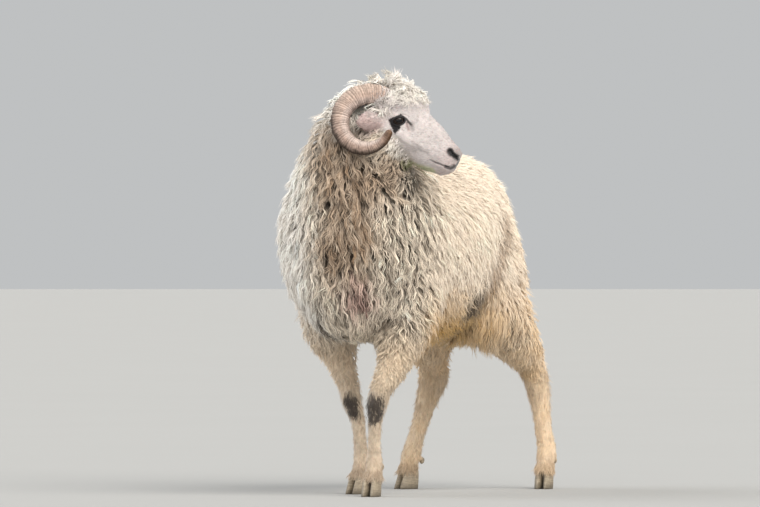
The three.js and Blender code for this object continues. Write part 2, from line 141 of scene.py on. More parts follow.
class RamColourSettings(bpy.types.PropertyGroup):
    """Colours of the coat, skin, horns and hooves."""

    wool: colour_property("Wool", "Clean outer wool", (0.92, 0.80, 0.665))
    # Greyer chest wool, partly painted shade of the front, which faces away from the key light
    wool_front_shaded: colour_property("Chest wool", "Greyer wool of the chest", (0.76, 0.66, 0.54))
    # Whiter wool of topknot, cheeks and the right of the neck, where it is partly painted rim light
    wool_white_and_rim_light: colour_property("White wool", "Topknot and sides of the neck", (0.95, 0.90, 0.835))
    # Partly the darker dirty wool deep in the fleece, partly painted shade at the roots, between the
    # locks and in the hollows
    wool_deep_and_shade: colour_property("Deep wool", "Wool between the locks", (0.17, 0.115, 0.07))
    soil: colour_property("Soil", "Brown streak behind the horns", (0.34, 0.215, 0.125))
    stain: colour_property("Stain", "Yellow stain of belly and thighs", (0.69, 0.43, 0.15))
    raddle: colour_property("Raddle", "Pink mark on the brisket", (0.43, 0.235, 0.205))
    grass: colour_property("Grass stain", "Green tint under the jaw", (0.36, 0.40, 0.17))
    face: colour_property("Face", "Short white face hair", (0.63, 0.57, 0.555))
    flush: colour_property("Flush", "Pink of the ears and muzzle", (0.56, 0.41, 0.385))
    black: colour_property("Black", "Eye patches, nostrils and lips", (0.012, 0.010, 0.011))
    knee: colour_property("Knee patch", "Dark patches on the knees", (0.045, 0.035, 0.03))
    shin: colour_property("Shin", "Short hair of the legs", (0.63, 0.51, 0.385))
    horn: colour_property("Horn", "Horn", (0.53, 0.38, 0.31))
    horn_dark: colour_property("Dark horn", "Underside and tip of the horn", (0.045, 0.028, 0.018))
    hoof: colour_property("Hoof", "Hoof horn", (0.34, 0.28, 0.20))


class RamStageSettings(bpy.types.PropertyGroup):
    """Floor and light."""

    floor: colour_property("Floor", "Floor colour", (0.41, 0.41, 0.40))
    sky: colour_property("Surroundings", "Light of the surroundings", (0.93, 0.95, 0.96))
    sky_strength: strength_property("Surroundings", "Strength of the surroundings", 0.56)
    key: strength_property("Key light", "Strength of the main light", 2.9)
    rim: strength_property("Side light", "Strength of the far side light", 1.7)
    fill: strength_property("Fill light", "Strength of the front light", 0.9)


def settings(part):
    """The settings of one part of the ram."""
    return getattr(bpy.context.scene, f"ram_{part}")


# ---- masks and places ----------------------------------------------------------------------
def smooth_step(low, high, value):
    """0 below low, 1 above high and smooth between; low may be the larger."""
    t = np.clip((value - low) / (high - low), 0, 1)
    return t * t * (3 - 2 * t)


def mixed(first, second, share):
    """first where share is 0 and second where it is 1."""
    first, second, share = np.asarray(first), np.asarray(second), np.asarray(share)
    if first.shape[-1:] == (3,) or second.shape[-1:] == (3,):
        share = share[..., None]
    return first * (1 - share) + second * share


def unit(vectors):
    """Vectors of length 1."""
    return vectors / np.maximum(np.linalg.norm(vectors, axis=-1, keepdims=True), 1e-9)


def vectors_of(*parts):
    """Vectors from three parts, each a number or an array."""
    return np.stack(np.broadcast_arrays(*parts), axis=-1)


def wobble(points, size, seed=0):
    """Smooth pseudo-random values from -1 to 1 that change over a distance of size."""
    total = np.zeros(len(points))
    for octave, (gain, turn) in enumerate(((0.5, 0.3), (0.3, 1.7), (0.2, 3.1))):
        scale = 2 * math.pi / size * 1.9**octave
        a, b, c = (points * scale + seed * 1.37 + turn).T
        total += gain * np.sin(a + 1.3 * np.sin(b + 0.7)) * np.cos(b + 1.1 * np.sin(c))
        total += gain * 0.6 * np.sin(c * 1.13 + 1.7 * np.cos(a * 0.77))
    return np.clip(total, -1, 1)


def near_line(points, line, radius):
    """1 on a line of corner points and 0 further off than radius."""
    line = np.asarray(line, float)
    nearest = np.full(len(points), 1e9)
    for start, end in zip(line[:-1], line[1:]):
        along = end - start
        t = np.clip(((points - start) @ along) / max(along @ along, 1e-12), 0, 1)
        gap = np.linalg.norm(points - start - t[:, None] * along, axis=1)
        nearest = np.minimum(nearest, gap)
    return smooth_step(radius, radius * 0.35, nearest)


def blob(points, centre, radii):
    """1 at a centre and 0 outside an ellipsoid."""
    gap = np.linalg.norm((points - np.asarray(centre)) / np.asarray(radii), axis=1)
    return smooth_step(1, 0.25, gap)


def in_blobs(points, spots):
    """The strongest of several blobs at each point."""
    return np.max([blob(points, *spot) for spot in spots], axis=0)


def layered(base, layers):
    """A colour with others laid over it in turn, each by its share."""
    for share, colour in layers:
        base = mixed(base, np.array(colour), np.clip(share, 0, 1))
    return base


def to_head(points):
    """Points in the head's own frame."""
    return (points - HEAD_ORIGIN) @ HEAD_AXES / MM


def from_head(local):
    """Points of the head's own frame in that of the ram."""
    return local * MM @ HEAD_AXES.T + HEAD_ORIGIN


# ---- meshes --------------------------------------------------------------------------------
def read_array(items, name, width, kind=float):
    """One property of many mesh items, as the rows of an array."""
    values = np.zeros(len(items) * width, kind)
    items.foreach_get(name, values)
    return values.reshape(-1, width)


def places_of(mesh):
    """The places of a mesh's vertices."""
    return read_array(mesh.vertices, "co", 3)


def normals_of(mesh):
    """The normals of a mesh's vertices."""
    return read_array(mesh.vertex_normals, "vector", 3)


def edges_of(mesh):
    """The two vertices of every edge."""
    return read_array(mesh.edges, "vertices", 2, np.int32)


def move_vertices(mesh, places):
    """Puts a mesh's vertices at new places."""
    mesh.vertices.foreach_set("co", places.astype(np.float32).ravel())
    mesh.update()


def neighbour_mean(values, edges):
    """The mean of each vertex's neighbours, for one value or one vector a vertex."""
    count = np.maximum(np.bincount(edges.ravel(), minlength=len(values)), 1)
    columns = values.reshape(len(values), -1)
    sums = np.empty_like(columns)
    for i, column in enumerate(columns.T):
        sums[:, i] = np.bincount(edges[:, 0], column[edges[:, 1]], len(values))
        sums[:, i] += np.bincount(edges[:, 1], column[edges[:, 0]], len(values))
    return (sums / count[:, None]).reshape(values.shape)


def relaxed(values, edges, share, times, keep_size=False):
    """Values drawn towards their neighbours' mean; keep_size pushes back after each step."""
    share = np.broadcast_to(share, len(values))
    if values.ndim > 1:
        share = share[:, None]
    for _ in range(times):
        values = values + share * (neighbour_mean(values, edges) - values)
        if keep_size:
            values = values - 1.04 * share * (neighbour_mean(values, edges) - values)
    return values


def add_value(mesh, name, values):
    """Stores one number for each vertex."""
    layer = mesh.attributes.new(name, "FLOAT", "POINT")
    layer.data.foreach_set("value", values.astype(np.float32))


def add_colour(mesh, name, colours):
    """Stores one colour for each vertex."""
    layer = mesh.attributes.new(name, "FLOAT_COLOR", "POINT")
    filled = np.concatenate([colours, np.ones((len(colours), 1))], axis=1)
    layer.data.foreach_set("color", filled.astype(np.float32).ravel())


def mesh_of(shape, name):
    """The mesh of a finished bmesh."""
    mesh = bpy.data.meshes.new(name)
    shape.to_mesh(mesh)
    shape.free()
    return mesh


def linked(name, data):
    """A new object in the scene."""
    made = bpy.data.objects.new(name, data)
    bpy.context.scene.collection.objects.link(made)
    return made


def dressed(mesh_object, material):
    """The object, smooth-shaded and of one material."""
    mesh_object.data.shade_smooth()
    mesh_object.data.materials.clear()
    mesh_object.data.materials.append(material)
    return mesh_object


def finished(mesh_object, slot_name, *replaced):
    """A piece rides on the body and may replace nodes; the slot's name is not used."""
    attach(mesh_object, BODY)
    if replaced:
        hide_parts(*replaced)


def applied(mesh_object):
    """The mesh of an object with its modifiers applied; the modifiers are removed."""
    graph = bpy.context.evaluated_depsgraph_get()
    mesh = bpy.data.meshes.new_from_object(mesh_object.evaluated_get(graph))
    mesh_object.modifiers.clear()
    mesh_object.data = mesh
    return mesh


# ---- materials -----------------------------------------------------------------------------
class Shader:
    """A node material built a node at a time."""

    def __init__(self, name, **constants):
        self.material = bpy.data.materials.new(name)
        self.material.use_nodes = True
        self.tree = self.material.node_tree
        self.surface = self.tree.nodes["Principled BSDF"]
        for socket, value in constants.items():
            self.surface.inputs[socket.replace("_", " ")].default_value = value

    def node(self, kind, inputs=None, **values):
        """A new node; inputs by name or number are numbers or other nodes' outputs."""
        made = self.tree.nodes.new(kind)
        for name, value in values.items():
            setattr(made, name, value)
        for name, value in (inputs or {}).items():
            if isinstance(value, bpy.types.NodeSocket):
                self.tree.links.new(value, made.inputs[name])
            else:
                made.inputs[name].default_value = value
        return made

    def attribute(self, name, output="Fac"):
        """An attribute of the mesh."""
        return self.node("ShaderNodeAttribute", attribute_name=name).outputs[output]

    def mapped(self, vector, scale=(1, 1, 1), rotation=(0, 0, 0)):
        """A vector, scaled and turned."""
        inputs = {"Vector": vector, "Scale": scale, "Rotation": rotation}
        return self.node("ShaderNodeMapping", inputs).outputs["Vector"]

    def place(self, scale=(1, 1, 1), rotation=(0, 0, 0)):
        """Object coordinates, scaled and turned."""
        return self.mapped(self.node("ShaderNodeTexCoord").outputs["Object"], scale, rotation)

    def noise(self, vector, scale, detail=3.0, roughness=0.6):
        """Noise from 0 to 1."""
        inputs = {"Vector": vector, "Scale": scale, "Detail": detail, "Roughness": roughness}
        return self.node("ShaderNodeTexNoise", inputs).outputs["Fac"]

    def ramp(self, value, low, high, out_low=0.0, out_high=1.0):
        """A smooth change from out_low at low to out_high at high."""
        inputs = {
            "Value": value, "From Min": low, "From Max": high, "To Min": out_low, "To Max": out_high,
        }
        made = self.node("ShaderNodeMapRange", inputs, interpolation_type="SMOOTHSTEP")
        return made.outputs["Result"]

    def mix(self, share, first, second, blend="MIX"):
        """Two colours mixed."""
        inputs = {0: share, 6: first, 7: second}
        return self.node("ShaderNodeMix", inputs, data_type="RGBA", blend_type=blend).outputs[2]

    def shaded(self, colour, value):
        """A colour made lighter or darker by a value."""
        grey = self.node("ShaderNodeCombineColor", {0: value, 1: value, 2: value}).outputs[0]
        return self.mix(1.0, colour, grey, "MULTIPLY")

    def bump(self, height, strength, distance, normal=None):
        """A bump from a height."""
        inputs = {"Height": height, "Strength": strength, "Distance": distance}
        if normal is not None:
            inputs["Normal"] = normal
        return self.node("ShaderNodeBump", inputs).outputs["Normal"]

    def set(self, **links):
        """Links values to the surface's sockets."""
        for socket, value in links.items():
            self.tree.links.new(value, self.surface.inputs[socket.replace("_", " ")])
        return self.material


def opaque(colour, shade=1.0):
    """A colour, lighter or darker by a shade, with full opacity."""
    return (*(min(1, shade * c) for c in colour), 1.0)


def wool_material(name):
    """Wool or hair: the marking's colour, with its painted shade, and fine fibres along each strand."""
    shader = Shader(
        name, Roughness=0.85, Sheen_Weight=0.14, Sheen_Roughness=0.6, Specular_IOR_Level=0.18
    )
    inputs = {"W": shader.attribute("fibre"), "Scale": 3.0, "Detail": 2.0}
    fibre = shader.node("ShaderNodeTexNoise", inputs, noise_dimensions="1D").outputs["Fac"]
    streak = shader.ramp(fibre, 0.3, 0.7, 0.86, 1.08)
    colour = shader.shaded(shader.attribute("coat_colour", "Color"), streak)
    return shader.set(Base_Color=colour, Normal=shader.bump(fibre, 0.35, 0.0006))


def skin_material():
    """Short flat hair over skin: the markings and painted shade, with fine hair in the bump."""
    shader = Shader(
        "short_hair", Sheen_Weight=0.22, Sheen_Roughness=0.5, Specular_IOR_Level=0.3,
        Subsurface_Weight=0.06, Subsurface_Scale=0.004,
    )
    of_head = shader.place(rotation=(0, 0, -HEAD_TURN))
    of_head = shader.mapped(of_head, (1, 0.22, 1), (-HEAD_PITCH, 0, 0))
    hair_head = shader.noise(of_head, 620)
    hair_legs = shader.noise(shader.place((1, 1, 0.2)), 560)
    inputs = {0: shader.attribute("on_head"), 2: hair_legs, 3: hair_head}
    hair = shader.node("ShaderNodeMix", inputs).outputs[0]
    patches = shader.noise(shader.place(), 38)
    colour = shader.attribute("coat_colour", "Color")
    colour = shader.shaded(colour, shader.ramp(hair, 0.3, 0.7, 0.86, 1.07))
    colour = shader.shaded(colour, shader.ramp(patches, 0.3, 0.7, 0.9, 1.05))
    rough = shader.ramp(shader.attribute("moist"), 0, 1, 0.78, 0.33)
    return shader.set(Base_Color=colour, Normal=shader.bump(hair, 0.5, 0.0009), Roughness=rough)


def horn_material():
    """Horn: its markings with painted shade in the grooves between the rings, grime and flakes."""
    shader = Shader("horn", Specular_IOR_Level=0.3)
    fine = shader.noise(shader.place(), 420, 4.0, 0.65)
    grime = shader.noise(shader.place(), 170)
    flakes = shader.noise(shader.place(), 900)
    colour = shader.attribute("horn_colour", "Color")
    colour = shader.shaded(colour, shader.ramp(fine, 0.25, 0.75, 0.82, 1.12))
    # Painted shade: darker in the grooves between the rings
    colour = shader.shaded(colour, shader.ramp(shader.attribute("ring"), 0, 1, 0.55, 1.08))
    colour = shader.shaded(colour, shader.ramp(grime, 0.3, 0.7, 0.72, 1.12))
    rough = shader.ramp(fine, 0.3, 0.7, 0.58, 0.78)
    return shader.set(Base_Color=colour, Normal=shader.bump(flakes, 0.35, 0.0005), Roughness=rough)


def hoof_material(colours):
    """Hoof horn with growth lines round it, darker towards the sole."""
    shader = Shader("hoof_horn")
    lines = shader.noise(shader.place((1, 1, 6)), 75, 4.0)
    streaks = shader.noise(shader.place((1, 1, 0.12)), 260)
    height = shader.node("ShaderNodeSeparateXYZ", {0: shader.place()}).outputs["Z"]
    light, dark, dark_sole = (opaque(colours.hoof, shade) for shade in (1.2, 0.62, 0.28))
    colour = shader.mix(shader.ramp(lines, 0.3, 0.7), dark, light)
    colour = shader.mix(shader.ramp(streaks, 0.45, 0.75, 0, 0.45), colour, dark)
    colour = shader.mix(shader.ramp(height, 0.02, 0.0, 0, 0.8), colour, dark_sole)
    normal = shader.bump(streaks, 0.35, 0.0006, shader.bump(lines, 0.3, 0.0009))
    rough = shader.ramp(streaks, 0.3, 0.7, 0.45, 0.7)
    return shader.set(Base_Color=colour, Normal=normal, Roughness=rough)


def eye_material():
    """A dark brown iris with a long level pupil under a wet cornea."""
    shader = Shader(
        "eye_gloss", Roughness=0.05, Coat_Weight=0.2, Coat_Roughness=0.03, Specular_IOR_Level=0.22
    )
    iris_dark, iris_light = (0.006, 0.004, 0.003, 1), (0.022, 0.011, 0.006, 1)
    white_of_eye, pupil_black = (0.008, 0.006, 0.006, 1), (0.001, 0.001, 0.002, 1)
    fleck = shader.noise(shader.place(), 900, 4.0)
    colour = shader.mix(shader.ramp(fleck, 0.3, 0.7), iris_dark, iris_light)
    colour = shader.mix(shader.ramp(shader.attribute("iris"), 0.9, 1.0), colour, white_of_eye)
    colour = shader.mix(shader.ramp(shader.attribute("pupil"), 1.1, 0.9), colour, pupil_black)
    return shader.set(Base_Color=colour)


def floor_material(colour):
    """A plain pale studio floor with a faint mottle."""
    shader = Shader("studio_floor", Roughness=0.8)
    cloud = shader.noise(shader.place(), 1.5, 4.0, 0.5)
    return shader.set(Base_Color=shader.mix(cloud, opaque(colour, 0.96), opaque(colour)))


# ---- markings and painted shade ------------------------------------------------------------
# Lines of the face are seen from its side: mm ahead of the head's origin and above it.
EYE_PATCH = [(-3, -5.5), (14, 19), (22.6, 9.6), (29, -10), (26.5, -25.5), (8.4, -13)]
TEAR_LINE = [(15, 16), (27.7, 15.5), (43.7, 9.7)]
# The tear line's end and the dark line along the tear fold are painted shade; the fold's pink is the
# skin's own
TEAR_END_SHADE = [(43.7, 9.7), (50, 4)]
TEAR_FOLD = [(33, 10), (39, 3), (45, -1.5)]
TEAR_PIT = [(40, 8), (46, 4)]
NOSTRIL = [(143.5, 6.5), (155, 4.8), (165.5, 4)]
NOSTRIL_WING = [(142.5, 7.5), (147, 5.5)]
NOSTRIL_BROW = [(137, 15), (150, 14.5), (162, 11)]
NOSE_PAD = [(151, 15), (164, 10)]
LIP_SPLIT = [(165.5, 1), (166, -6), (167, -14)]
MOUTH = [(116, -32), (128, -30), (139, -27.5), (152, -25.3), (162, -22.5), (167.5, -14)]
JAW_LINE = [(74, -66), (101, -62), (130, -52)]
# A crease of the cheek, drawn darker as painted shade
CHEEK_CREASE_SHADE = [(78, -20), (90, -24), (104, -19)]
CHEEK_BONE = [(22, -18), (50, -22), (84, -20)]
CHEEK_DIP = [(45, -38), (75, -42)]
MUZZLE_SHADE = ((10, -75, -38), (16, 26, 9))  # in the head's frame, across the head by halves

# Streaks and blobs of the body, in metres; a blob is a place and radii.
SPINE = -0.0366  # x of the plane that halves the trunk
SOIL_STREAK = [(0.0, -0.385, 0.76), (0.028, -0.395, 0.68), (0.035, -0.385, 0.60), (0.01, -0.385, 0.54)]
THIGH_STREAK = [(0.108, 0.168, 0.61), (0.130, 0.108, 0.54), (0.124, 0.08, 0.475), (0.12, 0.07, 0.44)]
# Dark tight curls low on the chest: partly darker wool, partly painted shade in the gaps between them
DARK_KNOT = ((-0.012, -0.40, 0.55), (0.05, 0.06, 0.07))
# Darker wool under the jaw, partly soil-coloured wool and partly painted shade under the head
THROAT = ((0.075, -0.325, 0.70), (0.09, 0.095, 0.065))
# Painted shade in a fold of the chest
CHEST_FOLD = ((0.088, -0.318, 0.475), (0.02, 0.035, 0.06))
SHADED_HOLLOWS = (  # painted shade in the near horn's curl, beside both forelegs and between belly and thigh
    ((0.048, -0.372, 0.792), (0.036, 0.036, 0.042)), ((0.060, -0.285, 0.392), (0.040, 0.055, 0.042)),
    ((-0.10, -0.295, 0.388), (0.06, 0.075, 0.038)), ((0.112, 0.024, 0.420), (0.060, 0.050, 0.060)),
)
# The dark knot and throat are partly darker wool and partly painted shade; the chest fold and hollows are
# painted shade
MATTED_AND_SHADED = (DARK_KNOT, THROAT, CHEST_FOLD, *SHADED_HOLLOWS)
RADDLE_MARK = ((0.030, -0.36, 0.448), (0.048, 0.065, 0.085))
# Painted shade where the belly meets the thighs
GROIN_SHADE = ((0.05, 0.06, 0.37), (0.09, 0.05, 0.05))
FLANK_FOLD = ((0.06, 0.125, 0.375), (0.075, 0.085, 0.06))
KNEES = (
    ((0.037, -0.293, 0.199), (0.041, 0.038, 0.038)), ((0.036, -0.287, 0.178), (0.032, 0.034, 0.036)),
    ((-0.089, -0.171, 0.201), (0.042, 0.040, 0.041)), ((-0.091, -0.167, 0.179), (0.030, 0.034, 0.038)),
)


def side_view(local):
    """How far forward and how far up a point of the head lies, in mm."""
    return np.stack([-local[:, 1], local[:, 2]], axis=1)


def inside_outline(flat, corners, edge):
    """1 inside a convex outline of the side view, with a soft edge."""
    worst = np.full(len(flat), -1e9)
    corners = np.array(corners)
    middle = corners.mean(axis=0)
    for start, end in zip(corners, np.roll(corners, -1, axis=0)):
        across = unit(np.array([end[1] - start[1], start[0] - end[0]]))
        if (middle - start) @ across > 0:
            across = -across
        worst = np.maximum(worst, (flat - start) @ across)
    return smooth_step(edge, -edge, worst)


def face_marks(local):
    """Weights of the dark, pink and moist marks of the face."""
    flat = side_view(local)
    ahead, sideways = flat[:, 0], np.abs(local[:, 0])
    ragged = flat + 1.2 * np.stack([wobble(local, 9, 3), wobble(local, 9, 4)], axis=1)
    side = smooth_step(14, 24, sideways)
    nostril = np.maximum(near_line(flat, NOSTRIL, 9.4), near_line(flat, NOSTRIL_WING, 11.5))
    nostril = smooth_step(5, 9, sideways) * nostril
    split = near_line(flat, LIP_SPLIT, 5.0) * smooth_step(15, 9, sideways)
    mouth = 0.6 * near_line(flat, MOUTH[:4], 2.8) * smooth_step(112, 130, ahead)
    mouth = np.maximum(mouth, 0.9 * near_line(flat, MOUTH[3:], 5.2))
    black = [
        side * inside_outline(ragged, EYE_PATCH, 1.5), nostril, split, mouth,
        # Painted shade: the tear line's end and the dark of the tear fold in front of the eye
        0.9 * side * near_line(flat, TEAR_LINE, 3.6), 0.3 * side * near_line(flat, TEAR_END_SHADE, 8),
        0.42 * side * near_line(flat, TEAR_FOLD, 3.2), 0.34 * near_line(flat, NOSE_PAD, 8),
    ]
    for eye, _ in SIDES:
        along, across, _ = eye_view(local, eye)
        ring = np.hypot(along / 15.5, across / 11) + (np.abs(local[:, 0] - eye * EYE_SPOT[0]) > 22)
        black.append(smooth_step(1.12, 0.95, ring))
    pink = np.maximum(side * near_line(flat, TEAR_FOLD, 5.5), 0.55 * smooth_step(112, 150, ahead))
    return np.max(black, axis=0), pink, np.max([nostril, split, 0.8 * mouth], axis=0)


def gap_shade(points):
    """Painted shade between the locks, partly darker dirty wool: most on chest and throat, least on the
    flanks.
    """
    x, y, z = points.T
    front = smooth_step(-0.1, -0.26, y) * smooth_step(-0.11, -0.03, x) * smooth_step(0.80, 0.72, z)
    across, back, up = to_head(points).T
    cheek = smooth_step(-76, -56, up) * smooth_step(26, 2, back) * (np.abs(across) < 75)
    front = front * smooth_step(0.29, 0.39, z) * (1 - 0.8 * cheek)
    shade = np.max([
        0.04 + front * (0.68 + 0.34 * wobble(points, 0.11, 15)),
        0.34 * smooth_step(0.44, 0.36, z) * smooth_step(0.28, 0.34, z),
        0.5 * near_line(points, THIGH_STREAK, 0.055), in_blobs(points, MATTED_AND_SHADED),
    ], axis=0)
    return np.clip(shade + 0.12 * wobble(points, 0.06, 14), 0, 1)


def shaded_root_colours(points, tint, colours):
    """The colour of the coat at its roots, where the outer ends have the colour given: painted shade deep
    in the coat, partly darker dirty wool.
    """
    shaded = 0.05 * tint + 0.14 * np.array(colours.wool_deep_and_shade)
    return mixed(0.97 * tint, shaded, gap_shade(points))


def wool_colours(points, colours):
    """The colour of the wool's outer ends at points of the body."""
    x, y, z = points.T
    cloud = wobble(points, 0.21, 1)
    fleck = wobble(points, 0.055, 2)
    # The front is greyer than the flanks, partly painted shade
    base = mixed(np.array(colours.wool), np.array(colours.wool_front_shaded), smooth_step(-0.12, -0.27, y))
    # Whiter wool on the right of neck and chest and on the top; on the right it is partly painted rim
    # light
    white = smooth_step(-0.03, -0.1, x) * smooth_step(-0.18, -0.3, y)
    white = np.maximum(white, smooth_step(0.76, 0.83, z) * smooth_step(-0.1, -0.2, y))
    base = mixed(base, np.array(colours.wool_white_and_rim_light), 0.92 * white)
    base = base * (1 + 0.05 * cloud + 0.04 * fleck)[:, None]
    soil = near_line(points, SOIL_STREAK, 0.08) * (0.66 + 0.3 * fleck)
    low_end = 0.25 * smooth_step(0.55, 0.46, z)
    soil = np.maximum(soil, near_line(points, THIGH_STREAK, 0.05) * (0.5 + low_end + 0.4 * fleck))
    below = smooth_step(0.49, 0.38, z + 0.02 * cloud)
    behind = smooth_step(-0.25, -0.16, y - 0.13 * smooth_step(-0.03, -0.1, x))
    stain = np.max([
        below * behind * (0.8 + 0.25 * fleck) * mixed(1.0, 0.5, smooth_step(0.07, 0.2, y)),
        smooth_step(0.14, 0.3, y) * smooth_step(0.66, 0.4, z) * (0.5 + 0.3 * cloud),
        0.22 * smooth_step(0.42, 0.3, z),
    ], axis=0)
    # Painted shade in the hollows, laid on as darker wool
    hollow_shade = 0.92 * sum(blob(points, *spot) for spot in SHADED_HOLLOWS)
    deep = np.array(colours.wool_deep_and_shade)
    # The throat and dark knot layers are partly painted shade, the groin and hollow layers painted shade;
    # soil, stain and raddle are the wool's own
    base = layered(base, (
        (0.6 * blob(points, *THROAT), colours.soil),
        (blob(points, *DARK_KNOT) * (0.55 + 0.3 * fleck), deep),
        (soil, colours.soil), (stain, colours.stain),
        (blob(points, *RADDLE_MARK) * (0.85 + 0.25 * fleck), colours.raddle),
        (0.5 * blob(points, *GROIN_SHADE), 1.2 * deep), (hollow_shade, 0.55 * deep),
    ))
    return np.clip(base, 0.01, 0.95)


def shin_colours(points, colours):
    """The colour of the short hair of the legs."""
    x, y, z = points.T
    fleck = wobble(points, 0.02, 5)
    cloud = wobble(points, 0.08, 6)
    base = np.array(colours.shin) * (1 + 0.06 * cloud + 0.05 * fleck)[:, None]
    base = mixed(base, np.array(colours.stain), 0.25 * smooth_step(0.08, 0.2, y) * (0.7 + 0.3 * cloud))
    base = base * (1 + 0.26 * smooth_step(0.28, 0.32, y) * smooth_step(0.26, 0.2, z))[:, None]
    base = mixed(base, np.array(colours.soil), 0.45 * smooth_step(0.10, 0.045, z) * (0.6 + 0.4 * fleck))
    knees = in_blobs(points, KNEES)
    grain = wobble(points * (1, 1, 0.35), 0.006, 7)
    knees = smooth_step(0.2, 0.66, knees + 0.14 * fleck + 0.34 * grain * (knees < 0.97))
    speckled = smooth_step(0.3, 0.75, wobble(points * (1, 1, 0.4), 0.011, 9)) * smooth_step(-0.03, 0.0, x)
    return mixed(base, np.array(colours.knee), knees * (0.95 - 0.5 * speckled))


def face_colours(points, colours):
    """The colour of the short hair of the face and ears."""
    local = to_head(points)
    black, pink, _ = face_marks(local)
    ahead, up = side_view(local).T
    tone = (1 + 0.05 * wobble(local, 16, 8)) * (1 - 0.09 * smooth_step(45, 100, ahead))
    # Painted shade along a crease of the cheek
    tone = tone * (1 - 0.2 * near_line(side_view(local), CHEEK_CREASE_SHADE, 5))
    base = np.array(colours.face) * tone[:, None]
    ear = smooth_step(46, 60, np.abs(local[:, 0])) * smooth_step(-4, 8, -ahead)
    inner = 0.55 * ear * smooth_step(-8, -30, up)
    base = mixed(base, np.array(colours.flush), np.clip(0.55 * pink + inner + 0.3 * ear, 0, 1))
    # Painted shade: greyer under the jaw and on the muzzle
    jaw = smooth_step(-38, -60, up + 0.06 * (ahead - 60)) * smooth_step(38, 62, ahead)
    grey = 0.35 * jaw + 0.2 * blob(local * (0.5, 1, 1), *MUZZLE_SHADE)
    base = mixed(base, 0.55 * np.array(colours.shin), np.clip(grey, 0, 0.5))
    return mixed(base, np.array(colours.black), np.clip(black, 0, 1))


def coat_colours(points, zones, colours):
    """The colour of skin and coat: wool, short face hair or short leg hair."""
    flat = side_view(to_head(points))
    head = np.clip(zones["head"], 0, 1)
    jowl = smooth_step(12, 28, flat[:, 0]) * smooth_step(-64, -46, flat[:, 1]) * head
    base = mixed(wool_colours(points, colours), shin_colours(points, colours), zones["shin"])
    base = mixed(base, 0.95 * np.array(colours.wool_white_and_rim_light), 0.8 * jowl)
    base = mixed(base, face_colours(points, colours), zones["face"])
    return mixed(base, np.array(colours.grass), 0.62 * near_line(flat, JAW_LINE, 13) * head)


# ---- skin ----------------------------------------------------------------------------------
HORN_SOCKET = (30.0, 22.0, 22.0)  # in the head's frame, of the left horn
HORN_ROOT = (33, 26, 24)
EYE_AXIS = (0.94, -0.32, 0.10)
SLIT_SLOPE = math.radians(44)
LEG_SEAM = 0.262  # height at which bare shin and woolly thigh meet


class NodeFinder:
    """Finds the node that is nearest to a point."""

    def __init__(self, names):
        self.count = len(names)
        corners, faces, self.owner = [], [], []
        for i, name in enumerate(names):
            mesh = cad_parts[name].data
            first = len(corners)
            corners += [v.co.copy() for v in mesh.vertices]
            faces += [[first + v for v in p.vertices] for p in mesh.polygons]
            self.owner += [i] * len(mesh.polygons)
        self.tree = BVHTree.FromPolygons(corners, faces)

    def owners(self, points):
        """The number of the nearest node for each point."""
        return np.array([self.owner[self.tree.find_nearest(Vector(p))[2]] for p in points])

    def shares(self, mesh, times):
        """For each vertex the share of it that belongs to each node, blurred over the mesh."""
        shares = np.eye(self.count)[self.owners(places_of(mesh))]
        return relaxed(shares, edges_of(mesh), 0.5, times)


def share_of(shares, *names):
    """The summed shares of some flesh nodes."""
    return shares[:, [FLESH.index(name) for name in names]].sum(axis=1)


def add_copy(body, node, swell):
    """Adds a copy of a node to a mesh, swollen so that it runs into its neighbours."""
    copy = bmesh.new()
    copy.from_mesh(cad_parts[node].data)
    bmesh.ops.remove_doubles(copy, verts=copy.verts, dist=1e-5)
    copy.normal_update()
    for vertex in copy.verts:
        vertex.co += vertex.normal * swell
    scratch = mesh_of(copy, "scratch")
    body.from_mesh(scratch)
    bpy.data.meshes.remove(scratch)


def add_ball(body, place, radius):
    """Adds a small ball to a mesh."""
    matrix = Matrix.Translation(Vector(place))
    bmesh.ops.create_icosphere(body, subdivisions=2, radius=radius, matrix=matrix)


def joined_flesh():
    """All flesh nodes run together, with the sockets of eyes and horns filled."""
    body = bmesh.new()
    for node in FLESH:
        add_copy(body, node, 0.0014)
    for eye in EYES:
        add_copy(body, eye, 0.0016)
    for side in (-1, 1):
        add_ball(body, from_head(np.array([HORN_SOCKET]) * (side, 1, 1))[0], 0.022)
    legs = NodeFinder(SHINS)
    for leg, (_, side) in itertools.product(LEGS, SIDES):
        claw = np.mean([c[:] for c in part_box(f"{leg}_dewclaw_{side}")], axis=0)
        near = np.array(legs.tree.find_nearest(Vector(claw))[0][:])
        for share, radius in ((0.15, 0.0052), (0.5, 0.0062), (0.85, 0.007)):
            add_ball(body, mixed(claw, near, share) + (0, 0, 0.002), radius)
    return linked(SKIN_NAME, mesh_of(body, SKIN_NAME))


def head_wool(local):
    """Where the head carries wool: topknot, nape and the back of the cheeks."""
    _, y, z = local.T
    border = np.minimum(z + 0.72 * y - 30, z - 44 - 0.62 * np.maximum(3 - y, 0))
    edge = -28 - 0.6 * np.maximum(-y - 36, 0) - 0.12 * np.maximum(36 + y, 0)
    cheek = smooth_step(8, -12, z - edge) * smooth_step(-114, -84, y)
    cheek = np.clip(np.maximum(cheek, smooth_step(-68, -78, z)), 0, 1)
    return smooth_step(-8, 8, border), smooth_step(14, 30, y), cheek


